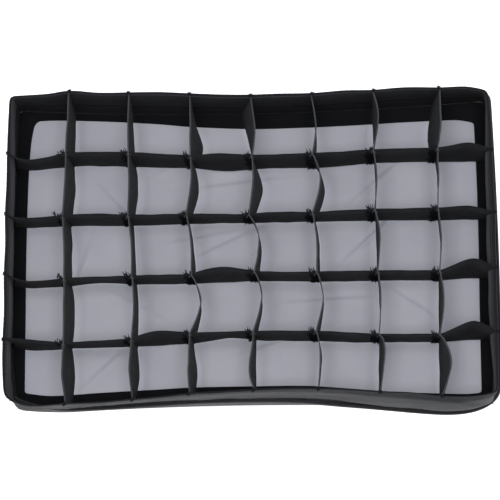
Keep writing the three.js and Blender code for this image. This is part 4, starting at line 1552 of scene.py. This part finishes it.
# The tacks themselves: two thin grey stitches crossed over the upright's front edge.
thread_grey, _ = mottled(
    "tack thread", 0.6, 1600.0, 2.0, (0.035, 0.037, 0.044, 1), (0.10, 0.104, 0.118, 1), 0.0002
)
tacks = bmesh.new()
for row, column in CROSSINGS:
    middle = at_level(crossing(row, column, 1.0), STRIP_FRONT_Z + 0.7)
    for dx, dy in ((3.4, -4.2), (-3.0, -4.4)):
        reach = draw.uniform(0.8, 1.1)
        start = middle + Vector((-dx * 0.5, -dy * 0.5, -0.2)) * reach
        end = middle + Vector((dx, dy, -1.6)) * reach
        add_thread(tacks, start, end, 0.26, 0.2)
tack_stitches = piece("crossing_tacks", tacks, thread_grey, smooth=False)
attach(tack_stitches, "grid")


# ---------------------------------------------------------------- rim stitches
# One row of lock stitches holds the binding, and shows on both sides of the wall. Each strip's
# end is barred to the wall through the binding, which leaves a small dark lump on the rim.
STITCH_EVERY = 2
rim_stitches = bmesh.new()
for out, up in ((-1.5, -3.2), (1.7, -8.0)):
    share = wall_share(RIM_Z + up)
    for i in range(0, len(rim_ring), STITCH_EVERY):
        start = wall_spot(i, share, out)
        after = wall_spot((i + 1) % len(rim_ring), share, out)
        end = start.lerp(after, 1.05)
        slant = Vector((0, 0, draw.uniform(-0.15, 0.15)))
        add_thread(rim_stitches, start, end + slant, 0.26, 0.26)
rim_lock_stitches = piece("rim_lock_stitches", rim_stitches, thread_grey, smooth=False)
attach(rim_lock_stitches, "grid")

bars = bmesh.new()
bar_places = []
for x, (top, _), (bottom, _) in zip(UPRIGHT_X, UPRIGHT_TOP_ENDS, UPRIGHT_BOTTOM_ENDS):
    bar_places += [(Vector((x + top, 0)), Vector((0, 1))), (Vector((x + bottom, 0)), Vector((0, -1)))]
for y, left, right in zip(CROSS_Y, CROSS_LEFT_ENDS, CROSS_RIGHT_ENDS):
    bar_places += [(Vector((0, y + left)), Vector((-1, 0))), (Vector((0, y + right)), Vector((1, 0)))]
for line, out in bar_places:
    rim_spot = max(
        (spot for spot in rim_ring if abs((spot - line).dot(Vector((out.y, out.x)))) < 1.6),
        key=lambda spot: spot.dot(out),
    )
    over = Vector((-out.y, out.x))
    for step in range(5):
        shift = over * ((step - 2) * 0.9)
        inner = rim_spot + shift - out * 1.9
        outer = rim_spot + shift + out * (1.9 + draw.uniform(0, 0.5))
        add_thread(bars, at_level(inner, RIM_Z + 1.1), at_level(outer, RIM_Z + 1.4), 0.5, 0.45)
    for _ in range(3):
        start = rim_spot + over * draw.uniform(-1.8, 1.8) + out * 1.4
        end = start + out * draw.uniform(0.8, 2.4) + over * draw.uniform(-1.0, 1.0)
        add_thread(bars, at_level(start, RIM_Z + 0.8), at_level(end, RIM_Z + 1.2), 0.5, 0.2)
rim_bars = piece("rim_bar_tacks", bars, thread_black, smooth=False)
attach(rim_bars, "grid")
